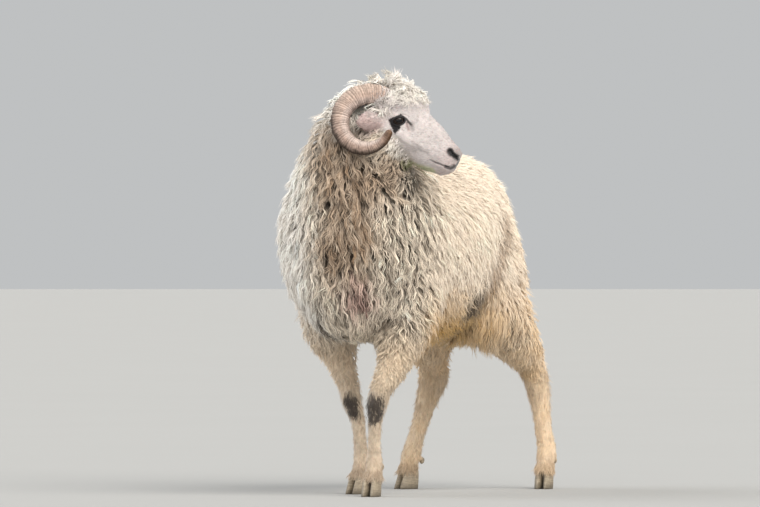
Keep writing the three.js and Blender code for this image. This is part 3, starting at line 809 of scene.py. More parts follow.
def skin_zones(points, shares):
    """Soft masks of the coat's zones at points with known shares of the flesh nodes."""
    topknot, nape, cheek = head_wool(to_head(points))
    head, ear = share_of(shares, "head"), share_of(shares, *EARS)
    woolly = np.clip(np.maximum(topknot, np.maximum(nape, cheek)), 0, 1)
    limb = share_of(shares, *SHINS, *THIGHS)
    low = points[:, 2] + 0.012 * wobble(points, 0.05, 9)
    leg_wool = smooth_step(0.205, LEG_SEAM, low - 0.012 * smooth_step(-0.05, 0.1, points[:, 1]))
    return {
        "head": head, "ear": ear, "topknot": topknot * head, "nape": nape * head,
        "cheek": cheek * head, "face": np.clip(head * (1 - woolly) + ear, 0, 1),
        "shin": limb * (1 - leg_wool), "thigh": limb * leg_wool,
        **{name: share_of(shares, name) for name in ("tail", "neck", "trunk")},
    }


def coat_depths(points, zones, sizes):
    """How deep the coat is at each vertex."""
    _, y, z = points.T
    thigh = mixed(0.003, 0.8 * sizes.body_depth, smooth_step(0.24, 0.42, z))
    body = sizes.body_depth * mixed(1.0, 0.55, smooth_step(-0.24, -0.08, y))
    tail = 0.6 * sizes.body_depth * smooth_step(0.36, 0.46, z) + 0.005
    crown = [
        sizes.crown_depth * zones["topknot"], 0.8 * sizes.body_depth * zones["nape"],
        0.007 * zones["cheek"],
    ]
    depth = body * (zones["trunk"] + zones["neck"]) + thigh * zones["thigh"] + tail * zones["tail"]
    return depth + np.max(crown, axis=0) + sizes.shin_depth * (zones["face"] + zones["shin"])


def drawn_in(points):
    """How much deeper the skin lies over the croup and at the corners of the hips."""
    _, y, z = points.T
    croup = 0.012 * smooth_step(0.12, 0.26, y) * smooth_step(0.46, 0.58, z)
    hips = blob(np.abs(points - (SPINE, 0, 0)), (0.17, 0.195, 0.49), (0.08, 0.12, 0.14))
    return np.maximum(croup, 0.015 * hips)


def refine(mesh, chosen):
    """Halves the edges of the chosen faces and leaves triangles."""
    shape = bmesh.new()
    shape.from_mesh(mesh)
    shape.faces.ensure_lookup_table()
    faces = [shape.faces[i] for i in np.flatnonzero(chosen)]
    edges = list({edge for face in faces for edge in face.edges})
    bmesh.ops.subdivide_edges(shape, edges=edges, cuts=1, use_grid_fill=True)
    bmesh.ops.triangulate(shape, faces=shape.faces)
    shape.to_mesh(mesh)
    shape.free()


def face_centres(mesh):
    """The middle of every face, in the head's frame."""
    return to_head(read_array(mesh.polygons, "center", 3))


def twin_gap(local, spot):
    """How far points of the head lie from a spot or its mirror image, in mm."""
    spots = [np.array(spot) * (side, 1, 1) for side in (-1, 1)]
    return np.min([np.linalg.norm(local - place, axis=1) for place in spots], axis=0)


def eye_axes(side):
    """The eye's outward axis, the slit's direction and the one across it."""
    outward = unit(np.array(EYE_AXIS) * (side, 1, 1))
    slit = np.array([0.0, -math.cos(SLIT_SLOPE), math.sin(SLIT_SLOPE)])
    slit = unit(slit - (slit @ outward) * outward)
    across = np.cross(outward, slit) * side
    return outward, slit, across if across[2] > 0 else -across


def eye_view(local, side):
    """Points of the head from the middle of an eye: along its slit, across it and outward."""
    outward, slit, across = eye_axes(side)
    away = local - EYE_SPOT * (side, 1, 1)
    return away @ slit, away @ across, away @ outward


def shape_lids(local, side, sizes):
    """Opens the slit over the eye and gives the lids a rim and folds."""
    u, v, w = eye_view(local, side)
    half_length, half_height = sizes.lid_length / MM / 2, sizes.lid_height / MM / 2
    ring, off = np.hypot(u / half_length, v / half_height), np.hypot(u, v)
    ball = np.sqrt(np.clip(EYE_RADIUS**2 - u**2 - v**2, 0, None))
    close = smooth_step(1.9, 1.35, ring) * (off < EYE_RADIUS - 0.5)
    target = np.where(close > 0, np.maximum(w, mixed(w, ball + 1.1, close)), w)
    target += 0.9 * smooth_step(1.4, 1.12, ring) * (ring >= 0.95)
    fold = np.exp(-(((ring - 1.75) / 0.14) ** 2)) * smooth_step(-2, 4, v)
    low_fold = np.exp(-(((ring - 1.65) / 0.12) ** 2)) * smooth_step(0, -4, v)
    brow = np.exp(-(((v - 13) / 5) ** 2) - (u / 17) ** 2)
    target += 1.8 * brow - fold - 0.7 * low_fold
    target = mixed(target, ball - 3.5, smooth_step(1.0, 0.9, ring))
    change = np.where((off < 27) & (w > -6), target - w, 0) * smooth_step(27, 21, off)
    return local + change[:, None] * eye_axes(side)[0]


def shape_muzzle(local, normals):
    """Sinks nostrils, mouth, lip split and the pit below the eye, and raises the cheek bone."""
    flat = side_view(local)
    ahead, sideways = flat[:, 0], np.abs(local[:, 0])
    side, wing = smooth_step(14, 24, sideways), smooth_step(5, 9, sideways)
    sink = sum((
        6.5 * wing * np.maximum(near_line(flat, NOSTRIL, 5.5), near_line(flat, NOSTRIL_WING, 8)),
        -1.5 * wing * near_line(flat, NOSTRIL_BROW, 6),
        2.6 * near_line(flat, MOUTH, 2.6) * smooth_step(108, 122, ahead),
        -0.9 * near_line(flat, np.array(MOUTH) - (0, 5.5), 6) * smooth_step(120, 140, ahead),
        2.0 * near_line(flat, LIP_SPLIT, 2.6) * smooth_step(7, 2, sideways),
        1.5 * side * near_line(flat, TEAR_PIT, 9),
        0.7 * side * near_line(flat, TEAR_LINE, 3),
        -1.6 * side * near_line(flat, CHEEK_BONE, 11),
        1.2 * side * near_line(flat, CHEEK_DIP, 13),
    ))
    shaped = local - normals * sink[:, None]
    shaped[:, 1] += 0.16 * np.clip(ahead - 142, 0, None)
    return shaped


def unwrap(mesh_object):
    """Unwraps the skin into the bake map, whose places the coat's strands share."""
    bpy.ops.object.select_all(action="DESELECT")
    mesh_object.select_set(True)
    bpy.context.view_layer.objects.active = mesh_object
    mesh_object.data.uv_layers.new(name=BAKE_MAP)
    bpy.ops.object.mode_set(mode="EDIT")
    bpy.ops.mesh.select_all(action="SELECT")
    bpy.ops.uv.smart_project(angle_limit=math.radians(66), island_margin=0.002)
    bpy.ops.object.mode_set(mode="OBJECT")
    mesh_object.select_set(False)


def thin_out(skin, finder):
    """Collapses the mesh under the wool and keeps it fine on face, ears and shins."""
    mesh = skin.data
    kept = [FLESH.index(name) for name in ("head", *EARS, *SHINS)]
    fine = np.isin(finder.owners(places_of(mesh)), kept).astype(float)
    fine = relaxed(fine, edges_of(mesh), 0.5, 10)
    group = skin.vertex_groups.new(name="under_wool")
    weights = np.round(np.clip(1 - 1.4 * fine, 0, 1), 1)
    for weight in np.unique(weights[weights > 0]):
        group.add(np.flatnonzero(weights == weight).tolist(), float(weight), "REPLACE")
    thin = skin.modifiers.new("thin", "DECIMATE")
    thin.ratio = SKIN_TRIANGLES / (2 * len(mesh.polygons))
    thin.vertex_group = group.name
    return applied(skin)


def sink_skin(mesh, finder, sizes):
    """Smooths the flesh and draws it in by the depth of the coat."""
    shares, edges = finder.shares(mesh, 6), edges_of(mesh)
    fine = share_of(shares, "head", *EARS, *SHINS)
    wide = np.clip(1 - 1.3 * fine, 0, 1) * 0.6
    joint = np.exp(-(((places_of(mesh)[:, 2] - LEG_SEAM) / 0.026) ** 2))
    wide = np.maximum(wide, 0.5 * joint * share_of(shares, *SHINS, *THIGHS))
    places = relaxed(places_of(mesh), edges, wide, 30)
    move_vertices(mesh, places)
    zones = skin_zones(places, shares)
    depth = coat_depths(places, zones, sizes) + drawn_in(places) * (1 - zones["tail"])
    places = places - normals_of(mesh) * relaxed(depth, edges, 0.5, 8)[:, None]
    move_vertices(mesh, relaxed(places, edges, wide, 6))


def shape_face(mesh, sizes):
    """Makes the face's mesh finer and shapes muzzle and lids."""
    centres = face_centres(mesh)
    across, back, up = centres.T
    muzzle = (back < -100) & (back > -190) & (np.abs(across) < 45) & (up > -70)
    refine(mesh, (twin_gap(centres, EYE_SPOT) < 27) | muzzle)
    refine(mesh, twin_gap(face_centres(mesh), EYE_SPOT) < 21)
    local = to_head(places_of(mesh))
    on_face = np.linalg.norm((local - (0, -70, -15)) / (80, 120, 75), axis=1) < 1
    changed = shape_muzzle(local, normals_of(mesh) @ HEAD_AXES)
    for side, _ in SIDES:
        changed = shape_lids(changed, side, sizes)
    move_vertices(mesh, from_head(np.where(on_face[:, None], changed, local)))


def make_skin(sizes, colours):
    """The whole skin, from the flesh nodes to its folds and markings."""
    finder = NodeFinder(FLESH)
    skin = joined_flesh()
    remesh = skin.modifiers.new("remesh", "REMESH")
    remesh.mode, remesh.voxel_size = "VOXEL", sizes.voxel
    mesh = applied(skin)
    move_vertices(mesh, relaxed(places_of(mesh), edges_of(mesh), 0.5, 14, keep_size=True))
    mesh = thin_out(skin, finder)
    sink_skin(mesh, finder, sizes)
    shape_face(mesh, sizes)
    places = places_of(mesh)
    zones = skin_zones(places, finder.shares(mesh, 3))
    tint = coat_colours(places, zones, colours)
    wool = np.clip(1 - zones["face"] - zones["shin"], 0, 1)
    # Painted shade: under the wool the skin takes a darkened copy of the root colour
    add_colour(mesh, "coat_colour", mixed(tint, 0.9 * shaded_root_colours(places, tint, colours), wool))
    add_value(mesh, "on_head", np.clip(zones["head"] + zones["ear"], 0, 1))
    add_value(mesh, "moist", face_marks(to_head(places))[2] * zones["head"])
    unwrap(skin)
    skin.vertex_groups.clear()
    return dressed(skin, skin_material())


# ---- horns ---------------------------------------------------------------------------------
HORN_STEPS = 260
HORN_SIDES = 32


def horn_line(side, curl):
    """Points along a horn at even spacing, in mm of the head's frame, and its length."""
    t = np.linspace(0, 1, 800)
    turn = np.radians(-12 + 296 * t)
    out = HORN_ROOT[0] + 57 * np.sin(math.pi / 2 * np.minimum(1, 1.7 * t)) + 20 * t * t
    _, y, z = HORN_MIDDLE
    line = np.stack([side * out, y + curl * np.sin(turn), z + curl * np.cos(turn)], axis=1)
    run = np.concatenate([[0], np.cumsum(np.linalg.norm(np.diff(line, axis=0), axis=1))])
    even = np.linspace(0, run[-1], HORN_STEPS)
    return np.stack([np.interp(even, run, axis) for axis in line.T], axis=1), run[-1]


def horn_radii(sizes):
    """The horn's radius in mm at each step."""
    t = np.linspace(0, 1, HORN_STEPS)
    return sizes.base / MM * (1 - 0.65 * t**2.35)


def horn_shapes(sizes):
    """The horns' centre lines and radii in metres, to keep the coat off them."""
    radius = horn_radii(sizes) * MM + 0.0015
    lines = [horn_line(side, sizes.curl / MM)[0] for side in (-1, 1)]
    return [(from_head(line)[::5], radius[::5]) for line in lines]


def horn_colours(points, normals, along, colours):
    """The horn's colours: pink at the root, pale on top as painted light, dark below (partly painted
    shadow) and at the tip.
    """
    fleck = wobble(points, 0.02, 4)
    arm = unit((to_head(points) - HORN_MIDDLE) * (0, 1, 1))
    facing = ((normals @ HEAD_AXES) * arm).sum(axis=1)
    horn, dark = np.array(colours.horn), np.array(colours.horn_dark)
    # Darker below, partly grime and partly painted shadow under the horn; the faces that look into the
    # curl get painted shade
    under = smooth_step(0.34, 0.72, facing + 0.1 * fleck) * smooth_step(0.34, 0.5, along)
    inside = 0.2 * smooth_step(-0.75, -0.98, facing)
    return layered(horn * (1 + 0.12 * fleck)[:, None], (
        (0.55 * smooth_step(0.16, 0.0, along), colours.flush),
        # Painted light: paler where the horn faces up
        (0.28 * smooth_step(0.1, 0.7, normals[:, 2]), colours.wool),
        (0.34 * smooth_step(-0.1, 0.6, facing + 0.15 * fleck), mixed(horn, dark, 0.5)),
        (0.35 * smooth_step(0.2, -0.5, facing), colours.face),
        (np.minimum(0.93 * under + inside, 0.95), dark),
        (0.85 * smooth_step(0.86, 0.98, along + 0.02 * fleck), dark * (2.6, 1.9, 1.2)),
    ))


def make_horn(side, name, sizes, colours, material):
    """One ringed horn, tapering to a blunt tip."""
    line, length = horn_line(side, sizes.curl / MM)
    steps = np.linspace(0, 1, HORN_STEPS)
    ahead = unit(np.gradient(line, axis=0))
    outer = unit((line - HORN_MIDDLE) * (0, 1, 1))
    outer = unit(outer - (outer * ahead).sum(1, keepdims=True) * ahead)
    across = np.cross(ahead, outer)
    run = steps * length
    spacing = sizes.ring / MM * (1 - 0.35 * steps)
    drift = 0.35 * np.sin(run * 0.11) + 0.25 * np.sin(run * 0.29 + 1)
    saw = (np.cumsum(np.gradient(run) / spacing) + drift) % 1.0
    ring = 1 - smooth_step(0.55, 1.0, saw) - 0.85 * smooth_step(0.25, 0.0, saw)
    coarse = 0.5 + 0.5 * np.sin(run * 2 * math.pi / 23.0)
    tip = np.sqrt(1 - np.clip((steps - 0.975) / 0.025, 0, 1) ** 2)
    rings = smooth_step(1.0, 0.8, steps) * (0.075 * ring + 0.04 * coarse)
    swell = horn_radii(sizes) * (0.965 + rings) * tip
    shape = bmesh.new()
    bmesh.ops.create_grid(shape, x_segments=HORN_SIDES, y_segments=HORN_STEPS + 1, size=0.5)
    places = np.array([vertex.co[:] for vertex in shape.verts])
    row = np.rint((places[:, 1] + 0.5) * (HORN_STEPS + 1)).astype(int) - 1
    row = np.clip(row, 0, HORN_STEPS - 1)
    angle = (places[:, 0] + 0.5) * 2 * math.pi
    cap = (places[:, 1] < -0.4999) | (row == HORN_STEPS - 1)
    keel = 1 + 0.055 * np.cos(3 * angle) - 0.03 * np.cos(2 * angle)
    reach = np.where(cap, 0, swell[row] * keel)[:, None]
    spoke = np.cos(angle)[:, None] * outer[row] + 0.9 * np.sin(angle)[:, None] * across[row]
    points = from_head(line[row] + reach * spoke)
    bands = (0.7 * ring + 0.3 * coarse)[row]
    stored = shape.verts.layers.float.new("ring")
    passed = shape.verts.layers.float.new("along")
    for vertex, point, band, share in zip(shape.verts, points, bands, steps[row]):
        vertex.co, vertex[stored], vertex[passed] = Vector(point), band, share
    bmesh.ops.remove_doubles(shape, verts=shape.verts, dist=1e-6)
    bmesh.ops.recalc_face_normals(shape, faces=shape.faces)
    mesh = mesh_of(shape, name)
    along = read_array(mesh.attributes["along"].data, "value", 1)[:, 0]
    tint = horn_colours(places_of(mesh), normals_of(mesh), along, colours)
    add_colour(mesh, "horn_colour", np.clip(tint, 0, 1))
    return dressed(linked(name, mesh), material)


# ---- eyes ----------------------------------------------------------------------------------
def make_eye(side, name, material):
    """An eyeball with a bulging cornea, an iris and a level pupil."""
    shape = bmesh.new()
    bmesh.ops.create_uvsphere(shape, u_segments=56, v_segments=36, radius=EYE_RADIUS)
    mesh = mesh_of(shape, name)
    ball = places_of(mesh)
    outward, _, _ = eye_axes(side)
    gaze = ball @ outward / EYE_RADIUS
    bulge = 1 + 0.05 * smooth_step(0.72, 0.95, gaze)
    middle = EYE_SPOT * (side, 1, 1)
    points = from_head(ball * bulge[:, None] + middle)
    move_vertices(mesh, points)
    gaze_line = HEAD_AXES @ outward
    level = unit(np.cross(gaze_line, (0, 0, 1)))
    spread = (points - from_head(middle)) / MM
    across, up = spread @ level, spread @ np.cross(level, gaze_line)
    add_value(mesh, "iris", (np.hypot(across, up) + 40 * (gaze < 0)) / 10.5)
    add_value(mesh, "pupil", np.hypot(across / 7.5, up / 3.4) + 5 * (gaze < 0))
    return dressed(linked(name, mesh), material)


# ---- hooves --------------------------------------------------------------------------------
def make_hoof(node, name, material):
    """A claw or dewclaw with softened edges and growth rings, flat where it stands."""
    shape = bmesh.new()
    shape.from_mesh(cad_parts[node].data)
    bmesh.ops.remove_doubles(shape, verts=shape.verts, dist=1e-5)
    sharp = [e for e in shape.edges if e.calc_face_angle(0) > 0.35]
    bmesh.ops.bevel(
        shape, geom=sharp, offset=0.0013, segments=1, profile=0.5, affect="EDGES", material=-1,
        clamp_overlap=True,
    )
    hoof = dressed(linked(name, mesh_of(shape, name)), material)
    rounding = hoof.modifiers.new("rounding", "SUBSURF")
    rounding.levels = rounding.render_levels = 2
    mesh = applied(hoof)
    low, high = (np.array(corner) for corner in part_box(node))
    points = places_of(mesh)
    rings = np.sin(points[:, 2] * 2 * math.pi / 0.0046 + 0.6 * wobble(points, 0.03, 2))
    rings = 0.00022 * rings * smooth_step(0.003, 0.009, points[:, 2] - low[2])
    points = points + unit((points - (low + high) / 2) * (1, 1, 0)) * rings[:, None]
    if low[2] < 0.001:
        points[points[:, 2] < 0.0016, 2] = 0
    move_vertices(mesh, points)
    mesh.shade_smooth()
    return hoof


# ---- coat ----------------------------------------------------------------------------------
AROUND = tuple(itertools.product((-1, 0, 1), repeat=3))
NECK_MIDDLE = (-0.01, -0.285)
HORN_REACH = 0.125  # no point further than this from a horn's middle can touch it


class Pelt:
    """The finished skin as arrays: where hair may root, and what the coat is like there."""

    def __init__(self, mesh, sizes, colours):
        self.faces = read_array(mesh.loops, "vertex_index", 1, np.int32).reshape(-1, 3)
        self.points, self.normals = places_of(mesh), normals_of(mesh)
        self.spots = read_array(mesh.uv_layers[BAKE_MAP].uv, "vector", 2).reshape(-1, 3, 2)
        edges = edges_of(mesh)
        zones = skin_zones(self.points, NodeFinder(FLESH).shares(mesh, 3))
        self.zone_names = list(zones)
        self.zones = np.stack(list(zones.values()), axis=1)
        self.depth = relaxed(coat_depths(self.points, zones, sizes), edges, 0.5, 6)
        self.soft_normals = unit(relaxed(self.normals, edges, 0.5, 10))
        self.colours = colours
        self.tree = BVHTree.FromPolygons(
            [Vector(p) for p in self.points], self.faces.tolist(), all_triangles=True
        )
        a, b, c = (self.points[self.faces[:, i]] for i in range(3))
        self.areas = np.linalg.norm(np.cross(b - a, c - a), axis=1) / 2

    def zone(self, name):
        """One zone's share at the vertices."""
        return self.zones[:, self.zone_names.index(name)]

    def scatter(self, weight, count, draw):
        """Random places on the skin, as face numbers and corner weights."""
        chance = self.areas * weight
        face = draw.choice(len(chance), count, p=chance / chance.sum())
        first, second = draw.random((2, count))
        flip = first + second > 1
        first, second = np.where(flip, 1 - first, first), np.where(flip, 1 - second, second)
        return face, np.stack([1 - first - second, first, second], axis=1)

    def spread_out(self, weight, spacing, draw):
        """Places that keep a distance, on the skin where weight is above nought."""
        weight = self.face_values(weight)
        area = float((self.areas * (weight > 0.02)).sum())
        tries = int(7 * area / spacing**2)
        face, share = self.scatter(weight > 0.02, tries, draw)
        points = self.at(self.points, face, share)
        keep = draw.random(tries) < weight[face]
        cells = np.floor(points / spacing).astype(int).tolist()
        points = points.tolist()
        taken, kept = {}, []
        for i in np.flatnonzero(keep):
            (a, b, c), point = cells[i], points[i]
            near = (q for x, y, z in AROUND for q in taken.get((a + x, b + y, c + z), ()))
            if all(math.dist(q, point) >= spacing for q in near):
                taken.setdefault((a, b, c), []).append(point)
                kept.append(i)
        return face[kept], share[kept]

    def face_values(self, values):
        """The mean of a vertex value on each face."""
        return values[self.faces].mean(axis=1)

    def at(self, values, face, share):
        """Vertex values at places given by face and corner weights."""
        picked = values[self.faces[face]]
        weights = share[:, :, None] if picked.ndim == 3 else share
        return (picked * weights).sum(axis=1)

    def spot_at(self, face, share):
        """The bake map's coordinates at places."""
        return (self.spots[face] * share[:, :, None]).sum(axis=1)

    def zones_at(self, face, share):
        """All zone shares at places."""
        return dict(zip(self.zone_names, self.at(self.zones, face, share).T))

    def under(self, points):
        """The nearest place on the skin, its soft normal and the coat's depth there."""
        found = [self.tree.find_nearest(Vector(p)) for p in points]
        places = np.array([f[0][:] for f in found])
        corners = self.faces[[f[2] for f in found]]
        gaps = np.linalg.norm(self.points[corners] - places[:, None], axis=2) + 1e-5
        weights = (1 / gaps) / (1 / gaps).sum(axis=1, keepdims=True)
        normals = unit((self.soft_normals[corners] * weights[..., None]).sum(axis=1))
        return places, normals, (self.depth[corners] * weights).sum(axis=1)


def lie_of_coat(points, normals, zones):
    """The direction in which the coat lies, along the skin."""
    x, y, _ = points.T
    across, back, _ = to_head(points).T
    side = np.tanh((x - SPINE) / 0.05)
    on_top, under = smooth_step(0.1, 0.8, normals[:, 2]), smooth_step(-0.3, -0.8, normals[:, 2])
    front = smooth_step(-0.14, -0.28, y)
    body = vectors_of(
        0.4 * side * on_top + 0.18 * front * np.tanh((x - SPINE) / 0.12),
        (0.42 + 0.5 * on_top) * (1 - 0.9 * front) + 0.6 * under, -1 + 0.4 * on_top,
    )
    middle_x, middle_y = NECK_MIDDLE
    neck = vectors_of(0.35 * (x - middle_x) / 0.1, 0.35 * (y - middle_y) / 0.1, -1)
    crown = vectors_of(across / 80, (back - 8) / 45, 0.1) @ HEAD_AXES.T
    face = vectors_of(0.25 * np.sign(across), 1, -0.3) @ HEAD_AXES.T
    cheek = HEAD_AXES @ (0, 0.9, -0.75) + (0, 0, -0.6)
    ear = vectors_of(0.8 * np.sign(across), 0.44, -0.405) @ HEAD_AXES.T
    lie = sum(way * share[:, None] for way, share in (
        (body, zones["trunk"]), (neck, zones["neck"] + zones["nape"]),
        (np.array((0, 0.12, -1)), zones["thigh"] + zones["shin"] + zones["tail"]),
        (1.2 * crown, zones["topknot"]), (cheek, zones["cheek"]),
        (face, np.clip(zones["face"] - zones["ear"], 0, 1)), (ear, zones["ear"]),
    ))
    swirl = np.stack([wobble(points, 0.09, seed) for seed in (11, 12, 13)], axis=1)
    lie = unit(lie) + 0.22 * swirl
    return unit(lie - (lie * normals).sum(axis=1, keepdims=True) * normals)


def follow_skin(pelt, places, normals, lie, length, lift, steps, sag, tips):
    """The centre lines of locks that rise from the skin and lie along it."""
    line, outs = [places], [normals]
    ground = places
    for step in range(1, steps + 1):
        share = step / steps
        ground, out, depth = pelt.under(ground + lie * (length / steps)[:, None])
        lie = unit(lie - (lie * out).sum(axis=1, keepdims=True) * out + 1e-6)
        rise = np.sin(np.minimum(1, 1.5 * share) * math.pi / 2)
        point = ground + out * (depth * (lift * rise + tips * share**3))[:, None]
        point[:, 2] -= sag * share**2
        line.append(point)
        outs.append(out)
    return np.stack(line, axis=1), np.stack(outs, axis=1)


class Strands:
    """Tapering ridged blades along centre lines, all with the same number of steps."""

    def __init__(self, line, outs, width, roll, ridge=0.42):
        count, rows, _ = line.shape
        ahead = unit(np.gradient(line, axis=1))
        across = unit(np.cross(ahead, outs))
        upright = np.cross(across, ahead)
        turn = roll[:, None, None]
        side = across * np.cos(turn) + upright * np.sin(turn)
        top = upright * np.cos(turn) - across * np.sin(turn)
        share = np.linspace(0, 1, rows)
        taper = (0.6 + 0.7 * share) * (1 - share**2.6)
        half = (width[:, None] * taper / 2)[:, :, None]
        body = np.stack([line - side * half, line + top * half * 2 * ridge, line + side * half], 2)
        body = body[:, :-1].reshape(count, -1, 3)
        self.points = np.concatenate([body, line[:, -1:]], axis=1).reshape(-1, 3)
        self.size = 3 * (rows - 1) + 1
        starts = [(3 * row + i) for row in range(rows - 2) for i in (0, 1)]
        quads = np.array([(a, a + 1, a + 4, a + 3) for a in starts], int).reshape(-1, 4)
        last, tip = 3 * (rows - 2), self.size - 1
        triangles = np.array([(last, last + 1, tip), (last + 1, last + 2, tip)])
        first = (np.arange(count) * self.size)[:, None, None]
        self.quads, self.triangles = quads + first, triangles + first
        self.along = np.tile(np.append(np.repeat(share[:-1], 3), 1.0), count)
        self.lateral = np.tile(np.append(np.tile([-1.0, 0.0, 1.0], rows - 1), 0.0), count)

    def each(self, values):
        """Values of the strands as values of all their points."""
        return np.repeat(values, self.size, axis=0)

    def piece(self, name, material, tint, fibre, spots, sideways):
        """The strands as an object; each has its own small patch of the bake map."""
        mesh = bpy.data.meshes.new(name)
        mesh.vertices.add(len(self.points))
        quads, triangles = self.quads.reshape(-1, 4), self.triangles.reshape(-1, 3)
        corners = np.concatenate([quads.ravel(), triangles.ravel()]).astype(np.int32)
        sides = np.repeat([4, 3], [len(quads), len(triangles)])
        mesh.loops.add(len(corners))
        mesh.loops.foreach_set("vertex_index", corners)
        mesh.polygons.add(len(sides))
        mesh.polygons.foreach_set("loop_start", (np.cumsum(sides) - sides).astype(np.int32))
        mesh.vertices.foreach_set("co", self.points.astype(np.float32).ravel())
        mesh.update(calc_edges=True)
        add_colour(mesh, "coat_colour", tint)
        add_value(mesh, "fibre", fibre)
        spots = self.each(spots)
        spots[:, 0] += sideways
        spots[:, 1] += 0.003 * (self.along - 0.5)
        spots = np.clip(spots, 0, 1)[corners].astype(np.float32)
        mesh.uv_layers.new(name=BAKE_MAP).uv.foreach_set("vector", spots.ravel())
        return dressed(linked(name, mesh), material)


def clear_of_horns(points, horns):
    """Pushes points out of the horns."""
    for line, radius in horns:
        near = np.linalg.norm(points - line.mean(axis=0), axis=1) < HORN_REACH
        chosen = np.flatnonzero(near)
        for part in np.array_split(chosen, max(1, len(chosen) // 20000)):
            gaps = np.linalg.norm(points[part][:, None] - line[None], axis=2)
            closest = gaps.argmin(axis=1)
            gap = gaps[np.arange(len(part)), closest]
            away = (points[part] - line[closest]) / np.maximum(gap, 1e-5)[:, None]
            points[part] += away * np.maximum(radius[closest] - gap, 0)[:, None]
    return points


def make_locks(name, pelt, weight, style, draw, horns, material):
    """One piece of the fleece: locks of several waving strands that draw together."""
    face, share = pelt.spread_out(weight, style["spacing"], draw)
    count, strands, steps = len(face), style["strands"], style["steps"]
    places = pelt.at(pelt.points, face, share)
    normals = unit(pelt.at(pelt.soft_normals, face, share))
    zones = pelt.zones_at(face, share)
    lie = lie_of_coat(places, normals, zones)
    lie = unit(lie + draw.normal(0, style["unrest"], lie.shape))
    length = style["length"](places, zones) * draw.uniform(0.7, 1.22, count)
    lift = draw.uniform(*style["lift"], count)
    sag = style["sag"] * draw.uniform(0.5, 1.3, count)
    tips = style["tips"] * draw.uniform(0, 1, count)
    line, outs = follow_skin(pelt, places, normals, lie, length, lift, steps, sag, tips)
    along = np.linspace(0, 1, steps + 1)
    across = unit(np.cross(unit(np.gradient(line, axis=1)), outs))
    phase = draw.uniform(0, 2 * math.pi, count)
    crimp = style["crimp"] * draw.uniform(0.6, 1.35, count)
    turns = length / style["wave"] * draw.uniform(0.8, 1.2, count)
    radius = style["radius"] * draw.uniform(0.75, 1.25, count)
    gather = 1 - style["gather"] * along**1.4
    swing = crimp[:, None] * np.minimum(1, 0.25 + 1.1 * along)
    pieces, tones, lows = [], [], []
    for strand in range(strands):
        seat = (strand + 0.5) / strands * 2 - 1 + draw.uniform(-0.3, 0.3, count)
        high = draw.uniform(-1, 1, count) * style["thick"]
        slack = np.clip(draw.standard_t(3.5, (count, 2)), -3, 3) * style["stray"]
        shift = phase + draw.normal(0, 0.45, count)
        wave = 2 * math.pi * turns[:, None] * along + shift[:, None]
        sideways = (seat * radius)[:, None] * gather + swing * np.sin(wave)
        sideways = sideways + (slack[:, 0] * radius * 3)[:, None] * along**2
        upwards = (high * radius)[:, None] * gather + 0.65 * swing * np.cos(wave) * along
        upwards = upwards + (np.abs(slack[:, 1]) * radius * 2.2)[:, None] * along**2.5
        pieces.append(line + across * sideways[..., None] + outs * upwards[..., None])
        tones.append(draw.uniform(-1, 1, count))
        lows.append(smooth_step(0.35, 1.0, np.abs(seat) - 1.3 * high))
    path = clear_of_horns(np.stack(pieces, axis=1).reshape(-1, 3), horns)
    path[:, 2] = np.maximum(path[:, 2], 0.002)
    path = path.reshape(-1, steps + 1, 3)
    width = style["width"] * draw.uniform(0.7, 1.3, len(path))
    roll = draw.normal(0, 0.5, len(path))
    blades = Strands(path, np.repeat(outs, strands, axis=0), width, roll)
    tint = coat_colours(places, zones, pelt.colours)
    roots, shade = shaded_root_colours(places, tint, pelt.colours), gap_shade(places)
    lock_tone = 1 + (draw.normal(0, 1, count) * (0.045 + 0.14 * shade**2))[:, None]
    tone = (1 + 0.06 * np.stack(tones, axis=1).ravel())[:, None]
    tint = np.repeat(tint * lock_tone, strands, axis=0) * tone
    roots = np.repeat(roots * lock_tone, strands, axis=0) * tone
    shade = np.repeat(shade, strands)
    # Painted light and shade: a lock's raised middle strands are lightened and its low edge strands
    # darkened, most where gap_shade is high
    low = np.stack(lows, axis=1).ravel() * shade
    tint = tint * (1 + 0.3 * np.clip(shade - low, 0, 1))[:, None]
    tint = mixed(tint, 0.08 * tint + 0.4 * np.array(pelt.colours.wool_deep_and_shade), 0.85 * low)
    # Painted shade: each strand is dark at its root, rising to its tint towards the tip, and its sides
    # are darker than its ridge
    shade, lateral = blades.each(shade), blades.lateral
    rise = smooth_step(0, 0.35 + 0.4 * shade, blades.along)
    tint = mixed(blades.each(roots), blades.each(tint), rise)
    tint = np.clip(tint * (1 - 0.16 * np.abs(lateral) * shade)[:, None], 0.005, 0.95)
    own = blades.each(draw.uniform(0, 90, len(path)))
    fibre = own + 0.9 * lateral + 0.25 * blades.along
    spots = np.repeat(pelt.spot_at(face, share), strands, axis=0)
    seat = blades.each(np.tile(np.linspace(-0.6, 0.6, strands), count))
    return blades.piece(name, material, tint, fibre, spots, 0.0015 * (seat + 0.3 * lateral))


